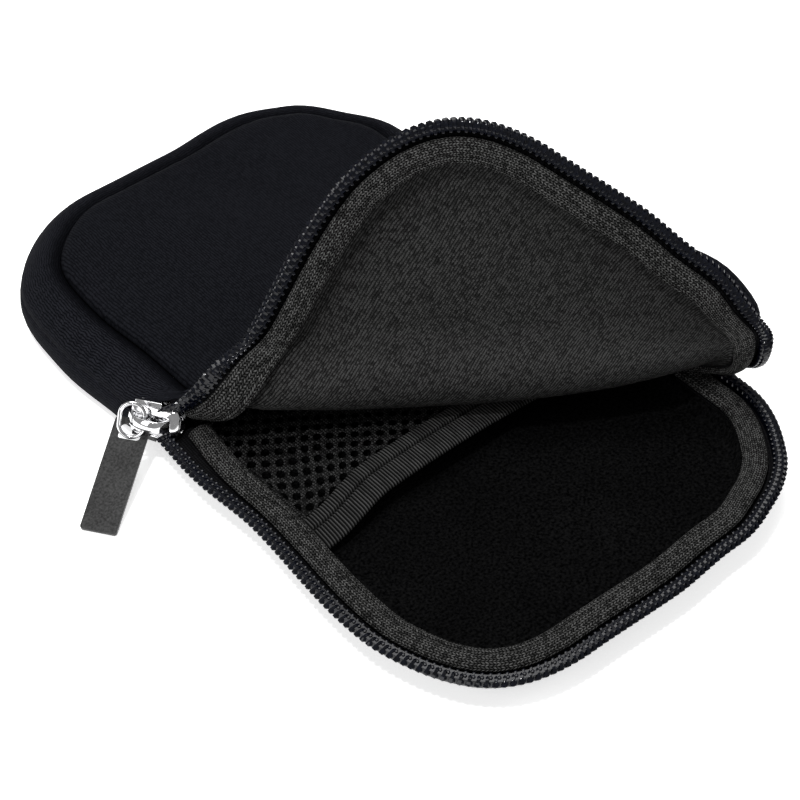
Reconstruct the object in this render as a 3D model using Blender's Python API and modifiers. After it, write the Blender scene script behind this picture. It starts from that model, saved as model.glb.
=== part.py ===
"""Padded phone sleeve: a pillow-shaped pouch whose corner flap folds back along a slanted line,
with a coil zipper on its rim, a slider with a pull tab, and a net pocket inside."""

from math import asin, cos, pi, radians, sin, tan

import bmesh
import bpy
from mathutils import Matrix, Quaternion, Vector

MM = 0.001

# Overall sizes of the zipped-up sleeve
sleeve_length = 186.5 * MM
sleeve_width = 114.0 * MM
sleeve_thickness = 20.1 * MM
corner_radius = 33.0 * MM
mid_height = sleeve_thickness / 2

# Gaps between neighbouring pieces
seam_gap = 0.3 * MM
weld_distance = 0.02 * MM

# Fabrics and padding
cover_thickness = 1.0 * MM
foam_thickness = 1.7 * MM
lining_thickness = 0.8 * MM
seam_inset = 10.3 * MM
crown_inset = 28.0 * MM
crown_rise = 2.05 * MM
corner_steps = 5

# The rim, as distances in from the rim's outline and from the middle plane
coil_width = 3.0 * MM
coil_height = 2.3 * MM
coil_half_gap = 0.1 * MM
coil_inset = 1.6 * MM
coil_sides = 6
tape_thickness = 0.6 * MM
tape_inner_inset = 9.8 * MM
roll_outer_inset = 5.0 * MM
roll_width = 5.2 * MM
roll_half_gap = 0.25 * MM
roll_steps = 5
band_rim_inset = 3.4 * MM
side_foam_inset = 7.2 * MM
band_rim_level = 5.4 * MM

# The rear side band, which bulges past the rim
rear_bulge = 0.4 * MM

# The slanted fold line of the flap
fold_bearing_deg = -35.3
flap_reach = 60.25 * MM
fold_crossing_y = flap_reach - sleeve_length / 2
near_fold_y = fold_crossing_y - sleeve_width / 2 * tan(radians(fold_bearing_deg))
flap_open_deg = 118.0
rear_edge_across = -16.5 * MM
rear_foam_edge_across = -22.0 * MM
bend_start_across = -8.0 * MM
flap_edge_across = 26.0 * MM
bend_rows = 12
bend_probe = 0.5 * MM
ceiling_level = 5.2 * MM
fold_squeeze_share = 0.45
rim_pull_reach = 16.0 * MM
near_pull_along = 0.0 * MM
near_pull_across = -10.0 * MM
near_pull_height = 5.0 * MM
far_pull_along = -3.0 * MM
far_pull_across = -5.0 * MM
far_pull_height = 4.0 * MM
slider_inset = 3.4 * MM
slider_setback = 9.84 * MM
slider_y = near_fold_y + slider_setback
slider_lift = 0.05 * MM
flap_chain_setback = 10.2 * MM
tray_chain_setback = 7.2 * MM
chain_start_y = slider_y - flap_chain_setback
tray_chain_start_y = slider_y - tray_chain_setback

# The net pocket
hem_setback = 1.0 * MM
hem_front_y = fold_crossing_y + hem_setback
hem_width = 8.0 * MM
hem_thickness = 1.0 * MM
hem_columns = 12
pocket_arch = 4.5 * MM
pocket_inset = 11.0 * MM
pocket_level = -3.9 * MM
net_thickness = 0.4 * MM
net_strand = 1.8 * MM
net_columns = 12
net_rows = 13
binding_width = 1.6 * MM
binding_thickness = 0.6 * MM

# The slider, along its own length from rear to mouth
slider_place = Vector((slider_inset - sleeve_width / 2, slider_y, mid_height + slider_lift))
slider_yaw_deg = 30.0
slider_tilt_deg = 25.0
slider_length = 11.0 * MM
slider_mouth_width = 9.4 * MM
slider_rear_width = 7.4 * MM
slider_thickness = 4.4 * MM
slider_plate = 0.8 * MM
slider_wall = 0.7 * MM
slider_neck_width = 2.2 * MM
bridge_length = 9.0 * MM
bridge_rise = 3.2 * MM
bridge_width = 2.4 * MM
bridge_thickness = 0.9 * MM
bridge_steps = 8

# The link is a ring round the bridge; the pull tab's barrel turns on its lower bar
link_wire_radius = 0.55 * MM
link_width = 6.0 * MM
link_height = 8.4 * MM
link_corner_radius = 2.4 * MM
link_corner_steps = 5
link_swing_deg = 14.0
link_setback = 2.2 * MM
tab_length = 24.0 * MM
tab_width = 8.4 * MM
tab_thickness = 1.0 * MM
tab_rim = 0.25 * MM
barrel_radius = 1.7 * MM
barrel_bore_radius = 0.95 * MM
barrel_length = 3.0 * MM
barrel_sides = 20
tab_yaw_deg = 35.6


def clear_scene():
    for item in list(bpy.data.objects):
        bpy.data.objects.remove(item, do_unlink=True)


def new_collection(name):
    collection = bpy.data.collections.new(name)
    bpy.context.scene.collection.children.link(collection)
    return collection


def new_material(name, colour, roughness, metallic=0.0):
    material = bpy.data.materials.new(name)
    material.use_nodes = True
    shader = material.node_tree.nodes["Principled BSDF"]
    shader.inputs["Base Color"].default_value = (*colour, 1.0)
    shader.inputs["Roughness"].default_value = roughness
    shader.inputs["Metallic"].default_value = metallic
    return material


clear_scene()
sleeve = new_collection("phone_sleeve")
cutters = new_collection("phone_sleeve_cutters")

cover_knit = new_material("cover_knit", (0.010, 0.012, 0.018), 0.85)
padding = new_material("padding", (0.05, 0.05, 0.052), 0.95)
lining_knit = new_material("lining_knit", (0.035, 0.035, 0.035), 0.9)
plush = new_material("plush", (0.006, 0.006, 0.007), 1.0)
tape_weave = new_material("tape_weave", (0.008, 0.008, 0.009), 0.8)
coil_nylon = new_material("coil_nylon", (0.008, 0.010, 0.018), 0.25)
net_nylon = new_material("net_nylon", (0.012, 0.012, 0.012), 0.6)
hem_elastic = new_material("hem_elastic", (0.018, 0.018, 0.018), 0.7)
slider_chrome = new_material("slider_chrome", (0.85, 0.85, 0.86), 0.08, 1.0)
tab_metal = new_material("tab_metal", (0.09, 0.09, 0.09), 0.3, 1.0)

# Directions of the fold: along it, across it towards the flap's corner, and the hinge axis
bearing = radians(fold_bearing_deg)
fold_along = Vector((cos(bearing), sin(bearing), 0))
fold_across = Vector((sin(bearing), -cos(bearing), 0))
fold_point = Vector((0, fold_crossing_y, mid_height))
hinge_axis = -fold_along


def rim_centres():
    """Arc centres of the rim's four corners, counter-clockwise from the far front one."""
    reach_x = sleeve_width / 2 - corner_radius
    reach_y = sleeve_length / 2 - corner_radius
    return [
        Vector((reach_x, -reach_y, 0)),
        Vector((reach_x, reach_y, 0)),
        Vector((-reach_x, reach_y, 0)),
        Vector((-reach_x, -reach_y, 0)),
    ]


def only(kind, items):
    return [item for item in items if isinstance(item, kind)]


def ring_mesh(profile, side, capped):
    """Carries a section of (inset, level) points round the rim; capped, it spans the middle."""
    bm = bmesh.new()
    centres = rim_centres()
    points = [
        bm.verts.new(centres[0] + Vector((0, inset - corner_radius, mid_height + side * level)))
        for inset, level in profile
    ]
    following = points[1:] if capped else points[1:] + points[:1]
    section = points + [bm.edges.new(pair) for pair in zip(points, following)]
    for centre, next_centre in zip(centres, centres[1:] + centres[:1]):
        corner = bmesh.ops.spin(
            bm, geom=section, cent=centre, axis=(0, 0, 1), angle=pi / 2, steps=corner_steps
        )
        straight = bmesh.ops.extrude_edge_only(bm, edges=only(bmesh.types.BMEdge, corner["geom_last"]))
        section = only(bmesh.types.BMVert, straight["geom"]) + only(bmesh.types.BMEdge, straight["geom"])
        bmesh.ops.translate(bm, vec=next_centre - centre, verts=only(bmesh.types.BMVert, section))
    bmesh.ops.remove_doubles(bm, verts=bm.verts[:], dist=weld_distance)
    if capped:
        bmesh.ops.holes_fill(bm, edges=[edge for edge in bm.edges if edge.is_boundary], sides=0)
    bmesh.ops.recalc_face_normals(bm, faces=bm.faces[:])
    return bm


def trim(bm, place, normal):
    """Cuts away what lies on the normal's side of a plane and closes the cut."""
    cut = bmesh.ops.bisect_plane(
        bm,
        geom=bm.verts[:] + bm.edges[:] + bm.faces[:],
        dist=weld_distance / 10,
        plane_co=place,
        plane_no=normal,
        clear_outer=True,
    )
    edges = [item for item in cut["geom_cut"] if isinstance(item, bmesh.types.BMEdge)]
    bmesh.ops.edgeloop_fill(bm, edges=edges)


def score(bm, place, normal):
    """Adds a row of edges where a plane crosses the mesh."""
    bmesh.ops.bisect_plane(
        bm,
        geom=bm.verts[:] + bm.edges[:] + bm.faces[:],
        dist=weld_distance / 10,
        plane_co=place,
        plane_no=normal,
    )


def finish(bm, name, material, origin=Vector((0, 0, 0)), parent=None):
    """Turns a mesh into a named object whose own origin is the given point."""
    bmesh.ops.translate(bm, verts=bm.verts[:], vec=-origin)
    bmesh.ops.recalc_face_normals(bm, faces=bm.faces[:])
    mesh = bpy.data.meshes.new(name)
    bm.to_mesh(mesh)
    bm.free()
    mesh.materials.append(material)
    item = bpy.data.objects.new(name, mesh)
    sleeve.objects.link(item)
    if parent is None:
        item.location = origin
    else:
        item.parent = parent
    return item


def across_place(distance):
    return fold_point + fold_across * distance


def smooth_share(value):
    value = min(1.0, max(0.0, value))
    return value * value * (3 - 2 * value)


def bend_share(across):
    return smooth_share((across - bend_start_across) / (flap_edge_across - bend_start_across))


def hinge_turned(across, height):
    """A place in the plane square to the fold, carried along with the turning flap."""
    angle = radians(flap_open_deg) * bend_share(across)
    return Vector((across * cos(angle) - height * sin(angle), across * sin(angle) + height * cos(angle)))


near_pull = (near_pull_along, near_pull_across, near_pull_height)
far_pull = (far_pull_along, far_pull_across, far_pull_height)


def rim_inset(point):
    """How far in from the rim's outline a place lies, seen from above."""
    past_x = abs(point.x) - (sleeve_width / 2 - corner_radius)
    past_y = abs(point.y) - (sleeve_length / 2 - corner_radius)
    if past_x > 0 and past_y > 0:
        return corner_radius - (past_x * past_x + past_y * past_y) ** 0.5
    return corner_radius - max(past_x, past_y)


def opened(point):
    """Where a point of the zipped-up front lies once the flap is folded back."""
    offset = point - fold_point
    across = offset.dot(fold_across)
    height = offset.z
    place = hinge_turned(across, min(height, ceiling_level))
    if height > ceiling_level:
        ahead = hinge_turned(across + bend_probe, ceiling_level)
        behind = hinge_turned(across - bend_probe, ceiling_level)
        run = (ahead - behind).normalized()
        span = (across - bend_start_across) / (flap_edge_across - bend_start_across)
        squeeze = 1 - fold_squeeze_share * sin(pi * min(1.0, max(0.0, span))) ** 2
        place += Vector((-run.y, run.x)) * ((height - ceiling_level) * squeeze)
    span = (across - bend_start_across) / (flap_edge_across - bend_start_across)
    hump = sin(pi * min(1.0, max(0.0, span)))
    share = hump * max(0.0, 1 - rim_inset(point) / rim_pull_reach)
    pull = near_pull if point.x < 0 else far_pull
    along = fold_along * (offset.dot(fold_along) + share * pull[0])
    rise = Vector((0, 0, place.y + share * pull[2]))
    return fold_point + along + fold_across * (place.x + share * pull[1]) + rise


# The fold-back joint: flap pieces are made zipped up and hang on this turned empty
flap_hinge = bpy.data.objects.new("flap_hinge", None)
sleeve.objects.link(flap_hinge)
flap_hinge.location = fold_point
flap_hinge.rotation_mode = "QUATERNION"
flap_hinge.rotation_quaternion = Quaternion(hinge_axis, radians(flap_open_deg))


def whole_piece(name, profile, side, material, capped=False):
    return finish(ring_mesh(profile, side, capped), name, material)


def rear_piece(name, profile, side, material, capped=False, edge_across=rear_edge_across):
    bm = ring_mesh(profile, side, capped)
    trim(bm, across_place(edge_across - seam_gap / 2), fold_across)
    return finish(bm, name, material)


def tray_piece(name, profile, material, starts_at_chain=True):
    bm = ring_mesh(profile, -1, False)
    trim(bm, across_place(rear_edge_across + seam_gap / 2), -fold_across)
    if starts_at_chain:
        trim(bm, Vector((0, tray_chain_start_y, 0)), Vector((0, 1, 0)))
    return finish(bm, name, material)


def flap_piece(name, profile, material, capped=False):
    bm = ring_mesh(profile, 1, capped)
    trim(bm, across_place(flap_edge_across + seam_gap / 2), -fold_across)
    return finish(bm, name, material, origin=fold_point, parent=flap_hinge)


def fold_piece(name, profile, material, capped=False, end=0, with_chain=True):
    """The stretch that bends between the rear and the flap; end -1 is the near side, 1 the far side."""
    bm = ring_mesh(profile, 1, capped)
    trim(bm, across_place(rear_edge_across + seam_gap / 2), -fold_across)
    trim(bm, across_place(flap_edge_across - seam_gap / 2), fold_across)
    if end:
        trim(bm, fold_point, -fold_along * end)
    if end < 0 and with_chain:
        trim(bm, Vector((0, chain_start_y, 0)), Vector((0, 1, 0)))
    bend_length = flap_edge_across - bend_start_across
    for row in range(bend_rows):
        score(bm, across_place(bend_start_across + bend_length * row / bend_rows), fold_across)
    for vertex in bm.verts:
        vertex.co = opened(vertex.co)
    return finish(bm, name, material)


# Sections of the rim and the shells, as (inset, level) points
def oval_section(centre_inset, centre_level, width, height, sides):
    return [
        (
            centre_inset + width / 2 * cos(2 * pi * step / sides),
            centre_level + height / 2 * sin(2 * pi * step / sides),
        )
        for step in range(sides)
    ]


coil_level = coil_half_gap + coil_height / 2
coil_section = oval_section(coil_inset, coil_level, coil_width, coil_height, coil_sides)
tape_level = coil_half_gap + coil_height + seam_gap
tape_back_level = tape_level + tape_thickness
tape_outer_inset = coil_inset - coil_width / 3
upstand_inset = band_rim_inset + tape_thickness / 2
tape_section = [
    (tape_outer_inset, tape_level),
    (tape_inner_inset, tape_level),
    (tape_inner_inset, tape_back_level),
    (upstand_inset + 2 * tape_thickness, tape_back_level),
    (upstand_inset + tape_thickness, band_rim_level - 1.5 * seam_gap),
    (upstand_inset, band_rim_level - 1.5 * seam_gap),
    (upstand_inset + tape_thickness / 2, tape_back_level),
    (tape_outer_inset, tape_back_level),
]
roll_back_level = tape_level - 2 * seam_gap
roll_inner_inset = roll_outer_inset + roll_width
roll_section = [
    (
        roll_outer_inset + roll_width / 2 * (1 - cos(pi * step / roll_steps)),
        roll_back_level - (roll_back_level - roll_half_gap) * sin(pi * step / roll_steps),
    )
    for step in range(roll_steps + 1)
]

lining_rim_level = tape_back_level + seam_gap
shell_level = mid_height
cover_inner = cover_thickness
front_seam_level = shell_level - crown_rise
mid_crown_inset = seam_inset + (crown_inset - seam_inset) / 3
mid_crown_share = 0.6

cover_section = [
    (crown_inset, shell_level - cover_thickness),
    (mid_crown_inset, front_seam_level + crown_rise * mid_crown_share - cover_thickness),
    (seam_inset, front_seam_level - cover_thickness),
    (seam_inset, front_seam_level),
    (mid_crown_inset, front_seam_level + crown_rise * mid_crown_share),
    (crown_inset, shell_level),
]
foam_top_drop = cover_thickness + seam_gap
foam_low_drop = foam_top_drop + foam_thickness
foam_edge_inset = seam_inset + seam_gap
foam_section = [
    (crown_inset, shell_level - foam_low_drop),
    (mid_crown_inset, front_seam_level + crown_rise * mid_crown_share - foam_low_drop),
    (foam_edge_inset + foam_thickness / 2, front_seam_level - foam_low_drop + foam_thickness / 4),
    (foam_edge_inset, front_seam_level - foam_top_drop),
    (mid_crown_inset, front_seam_level + crown_rise * mid_crown_share - foam_top_drop),
    (crown_inset, shell_level - foam_top_drop),
]
lining_top_drop = foam_low_drop + seam_gap
lining_low_drop = lining_top_drop + lining_thickness
lining_edge_inset = tape_inner_inset - lining_thickness
ceiling_rim_inset = foam_edge_inset + lining_thickness
lining_section = [
    (crown_inset, shell_level - lining_low_drop),
    (mid_crown_inset, front_seam_level + crown_rise * mid_crown_share - lining_low_drop),
    (ceiling_rim_inset + 2 * lining_thickness, front_seam_level - lining_low_drop),
    (lining_edge_inset + lining_thickness, lining_rim_level),
    (lining_edge_inset, lining_rim_level),
    (ceiling_rim_inset, front_seam_level - lining_top_drop),
    (mid_crown_inset, front_seam_level + crown_rise * mid_crown_share - lining_top_drop),
    (crown_inset, shell_level - lining_top_drop),
]

upper_band_section = [
    (band_rim_inset, band_rim_level),
    (band_rim_inset + cover_thickness, band_rim_level),
    ((band_rim_inset + seam_inset) / 2 + cover_thickness / 2, front_seam_level - 1.6 * cover_thickness),
    (seam_inset - seam_gap, front_seam_level - cover_thickness),
    (seam_inset - seam_gap, front_seam_level),
    ((band_rim_inset + seam_inset) / 2, front_seam_level - cover_thickness / 2),
]
lower_band_section = [
    (band_rim_inset, band_rim_level),
    (band_rim_inset + cover_thickness, band_rim_level),
    ((band_rim_inset + seam_inset) / 2 + cover_thickness / 2, shell_level - 2.8 * cover_thickness),
    (seam_inset - seam_gap, shell_level - cover_thickness),
    (seam_inset - seam_gap, shell_level),
    ((band_rim_inset + seam_inset) / 2, shell_level - 1.8 * cover_thickness),
]

# Outline shares run from the back seam, at level -1, round the bulge to the front seam, at level 1
rear_band_shares = (
    (0.0, -1.0),
    (0.58, -0.97),
    (0.92, -0.75),
    (1.0, -0.38),
    (0.95, 0.0),
    (0.76, 0.30),
    (0.45, 0.62),
    (0.0, 1.0),
)


def rear_band_side(inward):
    """One face of the rear band, moved inward by the given thickness."""
    reach = seam_inset - seam_gap + rear_bulge
    points = []
    for out_share, level_share in rear_band_shares:
        height = front_seam_level if level_share > 0 else shell_level
        inset = seam_inset - seam_gap - (reach - inward) * out_share
        points.append((inset, (height - inward) * level_share))
    return points


rear_band_section = rear_band_side(0) + rear_band_side(cover_thickness)[::-1]
rear_foam_inward = cover_thickness + 2 * seam_gap
rear_foam_section = rear_band_side(rear_foam_inward)[2:-1] + [
    (roll_outer_inset + seam_gap, band_rim_level / 2),
    (roll_outer_inset + seam_gap, -band_rim_level),
]


def back_plates():
    levels = []
    level = shell_level
    for thickness in (cover_thickness, foam_thickness, lining_thickness):
        levels.append((level, level - thickness))
        level -= thickness + seam_gap
    insets = (seam_inset, foam_edge_inset + seam_gap, ceiling_rim_inset)
    names = ("back_cover", "back_foam", "floor_lining")
    materials = (cover_knit, padding, plush)
    for name, inset, (low, high), material in zip(names, insets, levels, materials):
        whole_piece(name, [(inset, low), (inset, high)], -1, material, capped=True)
    return levels[-1][1]


floor_level = back_plates()
wall_foot_level = floor_level - seam_gap
wall_section = [
    (lining_edge_inset, lining_rim_level),
    (lining_edge_inset + lining_thickness, lining_rim_level),
    (ceiling_rim_inset + 1.5 * lining_thickness, wall_foot_level),
    (ceiling_rim_inset + 0.2 * lining_thickness, wall_foot_level),
]
side_foam_section = [
    (side_foam_inset, lining_rim_level),
    (lining_edge_inset - 2 * seam_gap, lining_rim_level),
    (ceiling_rim_inset - 4 * seam_gap, wall_foot_level),
    (seam_inset, floor_level + foam_thickness),
    (side_foam_inset + seam_gap, band_rim_level + seam_gap),
]
whole_piece("wall_lining", wall_section, -1, lining_knit)
whole_piece("side_foam", side_foam_section, -1, padding)

# Rear of the sleeve, which stays shut
rear_piece("front_cover", cover_section, 1, cover_knit, capped=True)
rear_piece("front_foam", foam_section, 1, padding, capped=True)
rear_piece("front_lining", lining_section, 1, lining_knit, capped=True)
rear_piece("rear_side_band", rear_band_section, 1, cover_knit)
rear_piece("rear_side_foam", rear_foam_section, 1, padding, edge_across=rear_foam_edge_across)

# Open tray
tray_piece("tray_side_band", lower_band_section, cover_knit, starts_at_chain=False)
tray_piece("tray_zipper_tape", tape_section, tape_weave)
tray_piece("tray_zipper_coil", coil_section, coil_nylon)
tray_piece("tray_edge_roll", roll_section, lining_knit)

# Folded-back flap
flap_piece("flap_cover", cover_section, cover_knit, capped=True)
flap_piece("flap_foam", foam_section, padding, capped=True)
flap_piece("flap_lining", lining_section, lining_knit, capped=True)
flap_piece("flap_side_band", upper_band_section, cover_knit)
flap_piece("flap_zipper_tape", tape_section, tape_weave)
flap_piece("flap_zipper_coil", coil_section, coil_nylon)
flap_piece("flap_edge_roll", roll_section, lining_knit)

# Stretches that bend at the fold
fold_piece("fold_cover", cover_section, cover_knit, capped=True)
fold_piece("fold_foam", foam_section, padding, capped=True)
fold_piece("fold_lining", lining_section, lining_knit, capped=True)
for side_name, end in (("near", -1), ("far", 1)):
    fold_piece(side_name + "_fold_band", upper_band_section, cover_knit, end=end, with_chain=False)
    fold_piece(side_name + "_fold_tape", tape_section, tape_weave, end=end)
    fold_piece(side_name + "_fold_coil", coil_section, coil_nylon, end=end)
    fold_piece(side_name + "_fold_roll", roll_section, lining_knit, end=end)


def half_width_at(y, inset):
    """Half of the room between the side walls, at a given place and distance in from the rim."""
    radius = corner_radius - inset
    past_corner = max(0.0, y - (sleeve_length / 2 - corner_radius))
    straight = sleeve_width / 2 - corner_radius
    return straight + max(radius * radius - past_corner * past_corner, 0.0) ** 0.5


def pocket_rise(x, y):
    """Height of the pocket's arch, highest at the middle of the hem."""
    across_share = 1 - (x / half_width_at(y, pocket_inset)) ** 2
    along_share = 1 - (y - hem_front_y) / (pocket_end_y - hem_front_y)
    return pocket_arch * max(across_share, 0.0) * along_share


hem_back_y = hem_front_y + hem_width
pocket_end_y = sleeve_length / 2 - pocket_inset
net_inset = pocket_inset + binding_width + 1.5 * seam_gap


def solid_sheet(name, bm, thickness, material):
    """A thin sheet thickened upwards from the surface that is given."""
    item = finish(bm, name, material)
    wall = item.modifiers.new("thickness", "SOLIDIFY")
    wall.thickness = thickness
    wall.offset = 1.0
    wall.use_even_offset = False
    return item


def net_row_places():
    """Rows crowd together towards the rounded end, where the net narrows."""
    run = sleeve_length / 2 - net_inset - hem_back_y - seam_gap
    return [hem_back_y + seam_gap + run * sin(pi / 2 * row / net_rows) for row in range(net_rows + 1)]


def mesh_pocket():
    rows = net_row_places()
    bm = bmesh.new()
    bmesh.ops.create_grid(bm, x_segments=net_columns, y_segments=net_rows, size=1)
    for vertex in bm.verts:
        y = rows[round((vertex.co.y + 1) / 2 * net_rows)]
        x = vertex.co.x * half_width_at(y, net_inset)
        vertex.co = Vector((x, y, mid_height + pocket_level + pocket_rise(x, y)))
    cells = bm.faces[:]
    bmesh.ops.inset_individual(bm, faces=cells, thickness=net_strand / 2, use_even_offset=True)
    bmesh.ops.delete(bm, geom=cells, context="FACES")
    return solid_sheet("mesh_pocket", bm, net_thickness, net_nylon)


def pocket_hem():
    bm = bmesh.new()
    bmesh.ops.create_grid(bm, x_segments=hem_columns, y_segments=1, size=1)
    for vertex in bm.verts:
        y = hem_front_y + hem_width * (vertex.co.y + 1) / 2
        x = vertex.co.x * half_width_at(y, pocket_inset)
        vertex.co = Vector((x, y, mid_height + pocket_level + pocket_rise(x, y)))
    return solid_sheet("pocket_hem", bm, hem_thickness, hem_elastic)


def pocket_binding():
    """The narrow tape that sews the net down along its sides and its closed end."""
    low = -pocket_level
    section = [
        (pocket_inset, low),
        (pocket_inset + binding_width, low),
        (pocket_inset + binding_width, low - binding_thickness),
        (pocket_inset, low - binding_thickness),
    ]
    bm = ring_mesh(section, -1, False)
    trim(bm, Vector((0, hem_back_y + seam_gap, 0)), Vector((0, -1, 0)))
    return finish(bm, "pocket_binding", hem_elastic)


mesh_pocket()
pocket_hem()
pocket_binding()


def flat_outline(points, depth):
    """A closed outline in the XY plane, given a depth both ways, as a mesh."""
    curve = bpy.data.curves.new("outline", "CURVE")
    curve.dimensions = "2D"
    curve.fill_mode = "BOTH"
    curve.extrude = depth / 2
    spline = curve.splines.new("POLY")
    spline.points.add(len(points) - 1)
    for slot, (x, y) in zip(spline.points, points):
        slot.co = (x, y, 0, 1)
    spline.use_cyclic_u = True
    holder = bpy.data.objects.new("outline", curve)
    sleeve.objects.link(holder)
    bpy.context.view_layer.update()
    mesh = bpy.data.meshes.new_from_object(holder.evaluated_get(bpy.context.evaluated_depsgraph_get()))
    bpy.data.objects.remove(holder)
    bm = bmesh.new()
    bm.from_mesh(mesh)
    bpy.data.meshes.remove(mesh)
    bmesh.ops.remove_doubles(bm, verts=bm.verts[:], dist=weld_distance)
    return bm


# The slider's own frame: X towards its mouth, Y across it, Z out of its top plate
slider_frame = bpy.data.objects.new("slider_frame", None)
sleeve.objects.link(slider_frame)
slider_frame.location = slider_place
slider_frame.rotation_euler = (radians(90 - slider_tilt_deg), 0, radians(slider_yaw_deg - 90))
slider_turn = slider_frame.rotation_euler.to_matrix()


def boolean(item, tool, operation):
    cut = item.modifiers.new(operation.lower(), "BOOLEAN")
    cut.operation = operation
    cut.object = tool
    return cut


def cutter(bm, name, parent):
    tool = finish(bm, name, slider_chrome, parent=parent)
    sleeve.objects.unlink(tool)
    cutters.objects.link(tool)
    tool.hide_render = True
    tool.display_type = "WIRE"
    return tool


def slider_body():
    """Two plates joined by the neck between the two chain mouths, with a cast bridge on top."""
    front = slider_length / 2
    half_mouth = slider_mouth_width / 2
    half_rear = slider_rear_width / 2
    half_neck = slider_neck_width / 2
    half_nose = half_neck + slider_wall / 2
    shoulder = front / 2
    waist = -front / 3
    outline = [
        (front, -half_nose),
        (front, half_nose),
        (shoulder, half_mouth),
        (shoulder / 3, half_mouth),
        (waist, half_rear),
        (-front, half_rear),
        (-front, -half_rear),
        (waist, -half_rear),
        (shoulder / 3, -half_mouth),
        (shoulder, -half_mouth),
    ]
    body = finish(flat_outline(outline, slider_thickness), "slider_body", slider_chrome, parent=slider_frame)

    past = slider_wall
    inner_rear = half_rear - slider_wall
    inner_mouth = half_mouth - slider_wall
    channel = [
        (-front - past, -inner_rear),
        (waist, -inner_rear),
        (shoulder / 3, -inner_mouth),
        (shoulder / 2, -inner_mouth),
        (shoulder / 2, -half_mouth - past),
        (front + past, -half_mouth - past),
        (front + past, -half_neck),
        (shoulder, -half_neck),
        (shoulder / 2, 0),
        (shoulder, half_neck),
        (front + past, half_neck),
        (front + past, half_mouth + past),
        (shoulder / 2, half_mouth + past),
        (shoulder / 2, inner_mouth),
        (shoulder / 3, inner_mouth),
        (waist, inner_rear),
        (-front - past, inner_rear),
    ]
    hollow = flat_outline(channel, slider_thickness - 2 * slider_plate)
    boolean(body, cutter(hollow, "channel", slider_frame), "DIFFERENCE")
    return body


def bridge_arc(rise, length):
    """Half an oval over the slider's top plate, as (along, up) points."""
    top = slider_thickness / 2
    return [
        (-length / 2 * cos(pi * step / bridge_steps), top + rise * sin(pi * step / bridge_steps))
        for step in range(bridge_steps + 1)
    ]


def slider_bridge():
    """The strap that the link hangs on, standing on the top plate."""
    outer = bridge_arc(bridge_rise + bridge_thickness, bridge_length)
    inner = bridge_arc(bridge_rise, bridge_length - 2 * bridge_thickness)
    bm = flat_outline(outer + inner[::-1], bridge_width)
    stand = Matrix.Rotation(pi / 2, 4, "X")
    lift = Matrix.Translation((0, 0, seam_gap))
    bmesh.ops.transform(bm, matrix=lift @ stand, verts=bm.verts[:])
    return finish(bm, "slider_bridge", slider_chrome, parent=slider_frame)


slider_body()
slider_bridge()

# The link turns about the stretch of its wire that runs under the bridge
link_pivot = bpy.data.objects.new("link_pivot", None)
sleeve.objects.link(link_pivot)
link_pivot.parent = slider_frame
link_pivot.location = (-link_setback, 0, slider_thickness / 2 + seam_gap + bridge_rise / 2)
link_pivot.rotation_euler = (0, radians(link_swing_deg), 0)


def ring_path(width, height, radius, steps):
    """A rounded rectangle whose right side runs through the origin."""
    places = []
    for x_sign, y_sign, first_deg in ((1, -1, -90), (1, 1, 0), (-1, 1, 90), (-1, -1, 180)):
        for step in range(steps + 1):
            angle = radians(first_deg + 90 * step / steps)
            x = x_sign * (width / 2 - radius) + radius * cos(angle) - width / 2
            y = y_sign * (height / 2 - radius) + radius * sin(angle)
            places.append((x, y))
    return places


def pull_link():
    curve = bpy.data.curves.new("pull_link", "CURVE")
    curve.dimensions = "3D"
    curve.bevel_depth = link_wire_radius
    curve.bevel_resolution = 1
    path = ring_path(link_width, link_height, link_corner_radius, link_corner_steps)
    spline = curve.splines.new("POLY")
    spline.points.add(len(path) - 1)
    for slot, (x, y) in zip(spline.points, path):
        slot.co = (x, y, 0, 1)
    spline.use_cyclic_u = True
    curve.materials.append(slider_chrome)
    item = bpy.data.objects.new("pull_link", curve)
    sleeve.objects.link(item)
    item.parent = link_pivot
    return item


pull_link()

# The tab slopes down from the link's lower bar until its end lies on the table
bpy.context.view_layer.update()
tab_pivot = bpy.data.objects.new("tab_pivot", None)
sleeve.objects.link(tab_pivot)
bar_place = link_pivot.matrix_world @ Vector((-link_width / 2, -link_height / 2, 0))
tab_slope = asin((bar_place.z - tab_thickness / 2) / tab_length)
tab_pivot.location = bar_place
tab_pivot.rotation_euler = (tab_slope, 0, radians(tab_yaw_deg - 90))


def block(size, place):
    bm = bmesh.new()
    bmesh.ops.create_cube(bm, size=1)
    bmesh.ops.scale(bm, vec=size, verts=bm.verts[:])
    bmesh.ops.translate(bm, vec=place, verts=bm.verts[:])
    return bm


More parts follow.
